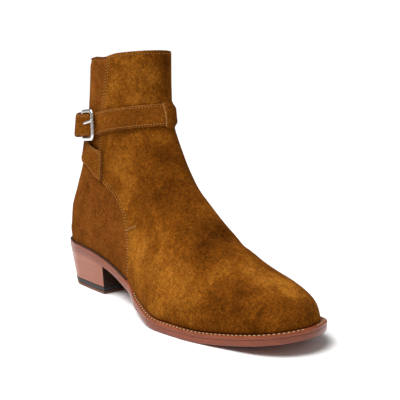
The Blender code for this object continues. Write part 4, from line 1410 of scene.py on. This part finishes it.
def slot_box():
    """A hidden block where the slot for the prong goes through the chape's fold."""
    start, forward, rise, out, _ = AXES
    half, reach, deep = PRONG_HALF_WIDTH + 0.7, 4.6, 6.5
    form = bmesh.new()
    for a in (-reach, reach):
        for b in (-deep, deep):
            for c in (-half, half):
                form.verts.new(Vector(start + forward * a + out * b + rise * c) * MM)
    bmesh.ops.convex_hull(form, input=form.verts[:])
    mesh = bpy.data.meshes.new("cutter_prong_slot")
    form.to_mesh(mesh)
    form.free()
    block = bpy.data.objects.new("cutter_prong_slot", mesh)
    bpy.context.scene.collection.objects.link(block)
    block.hide_render = True
    block.hide_viewport = True
    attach(block, "root")
    return block


def rounded_pairs(half, low, high, across, up):
    """A rounded rectangle as (level, lift) pairs."""
    middle_lift, tall = (low + high) / 2, (high - low) / 2
    pairs = []
    for level_at, lift_at, first in ((1, 1, 0), (-1, 1, 90), (-1, -1, 180), (1, -1, 270)):
        for angle in np.radians(np.linspace(first, first + 90, 5)):
            pairs.append((
                level_at * (half - across) + across * math.cos(angle),
                middle_lift + lift_at * (tall - up) + up * math.sin(angle),
            ))
    return pairs


def keeper_piece():
    sections = []
    for turn, swell in ((146.5, 0.0), (147.0, 0.12), (149.0, 0.2), (151.0, 0.12), (151.5, 0.0)):
        read = lambda rows, name: float(table(rows, STRAP_COLUMNS, name, turn))
        low = read(CHAPE_ROWS, "lift") - GAP
        high = read(ANKLE_STRAP_ROWS, "lift") + STRAP_THICK + 2 * GAP
        centre, half = read(ANKLE_STRAP_ROWS, "height"), read(ANKLE_STRAP_ROWS, "half") + GAP
        frames = []
        for wall, corner in ((0.0, 1.4), (KEEPER_WALL + swell, 3.2)):
            pairs = rounded_pairs(half + wall, low - wall, high + wall, corner, corner * 0.9)
            frames.append([SHAFT.at(turn, centre + level_up, lift) for level_up, lift in pairs])
        sections.append(frames)
    order = [frames[1] for frames in sections] + [frames[0] for frames in reversed(sections)]
    ring_piece("keeper_loop_leather", np.array(order), [STRAP], "suede_strap", ("keeper_loop",), 50.0)


def camera():
    turn, pitch, roll = np.radians([CAMERA_TURN, CAMERA_PITCH, CAMERA_ROLL])
    right = np.array([math.cos(turn), math.sin(turn), 0.0])
    level = np.array([-math.sin(turn), math.cos(turn), 0.0])
    forward = level * math.cos(pitch) - np.array([0.0, 0.0, math.sin(pitch)])
    up = np.cross(right, forward)
    right, up = right * math.cos(roll) + up * math.sin(roll), up * math.cos(roll) - right * math.sin(roll)
    place = np.array([HEEL_AXIS_SIDE, 0.0, CAMERA_HEIGHT]) - level * CAMERA_DISTANCE
    made = bpy.data.objects.new("camera", bpy.data.cameras.new("camera"))
    basis = np.eye(4)
    basis[:3] = np.stack([right, up, -forward, place * MM], axis=1)
    made.matrix_world = Matrix(basis.tolist())
    made.data.sensor_width = SENSOR_WIDTH
    made.data.lens = FOCAL_LENGTH * SENSOR_WIDTH
    made.data.shift_x, made.data.shift_y = CAMERA_SHIFT
    made.data.clip_start = 0.01
    bpy.context.scene.collection.objects.link(made)
    bpy.context.scene.camera = made


def floor():
    mesh = bpy.data.meshes.new("floor")
    corners = [(x * FLOOR_REACH, y * FLOOR_REACH, 0.0) for x, y in ((-1, -1), (1, -1), (1, 1), (-1, 1))]
    mesh.from_pydata(corners, [], [(0, 1, 2, 3)])
    made = bpy.data.objects.new("floor", mesh)
    bpy.context.scene.collection.objects.link(made)
    s = Shader("floor_pale", 0.9)
    s.set(Specular_IOR_Level=0.1)
    mesh.materials.append(s.done((0.97, 0.97, 0.97)))


def light():
    world = bpy.data.worlds.new("studio")
    world.use_nodes = True
    tree = world.node_tree
    back = tree.nodes["Background"]
    back.inputs[0].default_value = (1.0, 1.0, 1.0, 1.0)
    seen = tree.nodes.new("ShaderNodeLightPath")
    strength = tree.nodes.new("ShaderNodeMapRange")
    strength.inputs["To Min"].default_value = WORLD_LIGHT
    strength.inputs["To Max"].default_value = WORLD_SEEN
    tree.links.new(seen.outputs["Is Camera Ray"], strength.inputs["Value"])
    tree.links.new(strength.outputs[0], back.inputs[1])
    bpy.context.scene.world = world
    sun = bpy.data.lights.new("sun", "SUN")
    sun.energy, sun.angle = SUN[0], math.radians(SUN[1])
    lamps = [(sun, SUN[2])]
    for name, at, size, power in LAMPS:
        lamp = bpy.data.lights.new(name, "AREA")
        lamp.shape, lamp.size, lamp.energy = "DISK", size, power
        lamps.append((lamp, at))
    for lamp, at in lamps:
        item = bpy.data.objects.new(lamp.name, lamp)
        item.location = at
        item.rotation_euler = (Vector(LAMPS_AIM) - Vector(at)).to_track_quat("-Z", "Y").to_euler()
        bpy.context.scene.collection.objects.link(item)
    bpy.context.scene.view_settings.view_transform = "Standard"


STITCH_RINGS = ((-1.0, 0.0), (-0.85, 0.6), (-0.4, 1.0), (0.4, 1.0), (0.85, 0.6), (1.0, 0.0))


class Seam:
    """Gathers runs of stitches, and dark marks of painted shade in the holes between them, and makes two
    pieces of them.
    """

    def __init__(self):
        self.threads, self.holes = ([], []), ([], [])

    def run(self, path, away, pitch=2.6, length=1.6, radius=0.30, lift=0.05, holes=True):
        arc = arc_of(path)
        if arc[-1] < pitch:
            return
        count = int(arc[-1] / pitch)
        step = arc[-1] / count
        at = lambda places, grid: np.stack([np.interp(places, arc, grid[:, k]) for k in range(3)], axis=1)
        for which, shift in ((0, 0.5), (1, 0.0)):
            if which and not holes:
                continue
            centres = (np.arange(count) + shift) * step
            place, up = at(centres, path), at(centres, away)
            ahead = at(centres + 0.4, path) - place
            for spot, way, out in zip(place, ahead, up):
                if np.linalg.norm(way) < 1e-6:
                    continue
                way = way / np.linalg.norm(way)
                out = out - way * (out @ way)
                out /= np.linalg.norm(out)
                # Dark marks of painted shade in the holes between stitches
                if which:
                    capsule(self.holes, spot, way, out, (pitch - length) * 0.95, radius * 1.15, lift - 0.12)
                else:
                    capsule(self.threads, spot, way, out, length, radius, lift)

    def piece(self, name, material):
        mesh_piece(name, np.array(self.threads[0]), self.threads[1], [material], None)
        if self.holes[0]:
            mesh_piece(name + "_holes", np.array(self.holes[0]), self.holes[1], [HOLE_SHADE], None)


def capsule(lists, spot, way, out, length, radius, lift):
    """Adds one small round-ended stitch to the lists of points and faces."""
    points, faces = lists
    side = np.cross(way, out)
    base = len(points)
    for at, wide in STITCH_RINGS:
        for k in range(6):
            angle = k * math.pi / 3
            around = out * math.cos(angle) * 0.8 + side * math.sin(angle)
            points.append(spot + out * lift + way * at * length / 2 + around * radius * max(wide, 0.02))
    for i in range(len(STITCH_RINGS) - 1):
        for k in range(6):
            m = (k + 1) % 6
            a, b = base + i * 6, base + (i + 1) * 6
            faces.append((a + k, a + m, b + m, b + k))
    faces.append(tuple(base + k for k in range(5, -1, -1)))
    faces.append(tuple(base + (len(STITCH_RINGS) - 1) * 6 + k for k in range(6)))


def along_rows(grid, normal, first, distance, from_end=False):
    """The run that lies at a distance from a grid's first or last column, over the rows from first on."""
    path, away = [], []
    for row, out in zip(grid[first:], normal[first:]):
        if from_end:
            row, out = row[::-1], out[::-1]
        arc = arc_of(row)
        path.append([np.interp(distance, arc, row[:, k]) for k in range(3)])
        away.append([np.interp(distance, arc, out[:, k]) for k in range(3)])
    return np.array(path), np.array(away)


def stitch_upper(placed, normal, quarters):
    """Two rows along the front panel's seams, one row round the collar, and the tack."""
    seam = Seam()
    first = next(k for k, (low, _) in enumerate(SEAMS) if low > 0.5)
    trimmed, normal_trimmed = placed[:, 2:-2], normal[:, 2:-2]
    for from_end in (False, True):
        for distance in (1.9, 4.9):
            path, away = along_rows(trimmed, normal_trimmed, first, distance, from_end)
            seam.run(path[:-2], away[:-2])
    for grid, out in [(trimmed, normal_trimmed)] + list(quarters):
        turned, turned_out = grid[::-1].transpose(1, 0, 2), out[::-1].transpose(1, 0, 2)
        path, away = along_rows(turned, turned_out, 0, 1.7)
        keep = slice(0, None) if grid is trimmed else slice(0, -5)
        seam.run(path[keep], away[keep], 2.6, 1.7, 0.26)
    start, end = np.array(TACK)
    places = start + (end - start) * np.linspace(0.0, 1.0, 12)[:, None]
    for rise in (-0.55, 0.55):
        tack = on_form(to_row(places[:, 0], places[:, 1], places[:, 2] + rise))
        seam.run(tack, np.tile((-1.0, 0.0, 0.2), (len(tack), 1)), 2.2, 2.0, 0.42, 0.2)
    seam.piece("upper_stitches", THREAD)


def stitch_strap(name, rows, start, end, cross=(), inset=1.7):
    """A row of stitches along each edge of a strap, and rows across it at the given turns."""
    seam = Seam()
    turns, height, half, lift = band_rows(rows, start, end, 1.5)
    for sign in (-1.0, 1.0):
        path, away = SHAFT.path(turns, height + sign * (half - inset), lift)
        seam.run(path + away * STRAP_THICK, away, 2.6, 1.9, 0.28, 0.08)
    for turn in cross:
        read = lambda key: float(table(rows, STRAP_COLUMNS, key, turn))
        path, away = [], []
        for level_up in np.linspace(-1.0, 1.0, 14) * (read("half") - inset):
            place, out = SHAFT.spot(turn, read("height") + level_up, read("lift"))
            path.append(place + out * STRAP_THICK)
            away.append(out)
        seam.run(np.array(path), np.array(away), 2.5, 1.7, 0.28, 0.05)
    seam.piece(name, THREAD)


def stitch_welt():
    seam = Seam()
    fine = stations(500)
    for edge in edges(fine, STITCH_ROW_IN_WELT):
        keep = (fine > 136.0) & (fine < 299.4)
        at = edge[keep]
        path = to_row(at[:, 0], at[:, 1], welt_top(at[:, 1]) - 0.2)
        seam.run(path, np.tile((0.0, 0.0, 1.0), (len(path), 1)), 3.6, 2.2, 0.50, 0.30)
    seam.piece("welt_stitches", WELT_THREAD)


camera()
floor()
light()
placed_front, normal_front = front_piece()
placed_quarters = quarters_piece()
stitch_upper(placed_front, normal_front, placed_quarters)
stitch_strap("ankle_strap_stitches", ANKLE_STRAP_ROWS, 3.0, 105.0)
stitch_strap("ankle_loop_stitches", ANKLE_STRAP_ROWS, 118.0, 196.0)
stitch_strap("back_strap_stitches", BACK_STRAP_ROWS, 98.6, 256.0, (98.8, 102.6))
stitch_welt()
tunnel_piece()
lining_piece()
sole_pieces()
heel_pieces()
painted_seat_shade()
strap_piece("ankle_strap_leather", ANKLE_STRAP_ROWS, -1.0, 198.0, "ankle_strap")
strap_piece("back_strap_leather", BACK_STRAP_ROWS, 97.0, 272.0, "back_strap")
buckle_frame_piece()
prong_piece()
chape_piece()
keeper_piece()
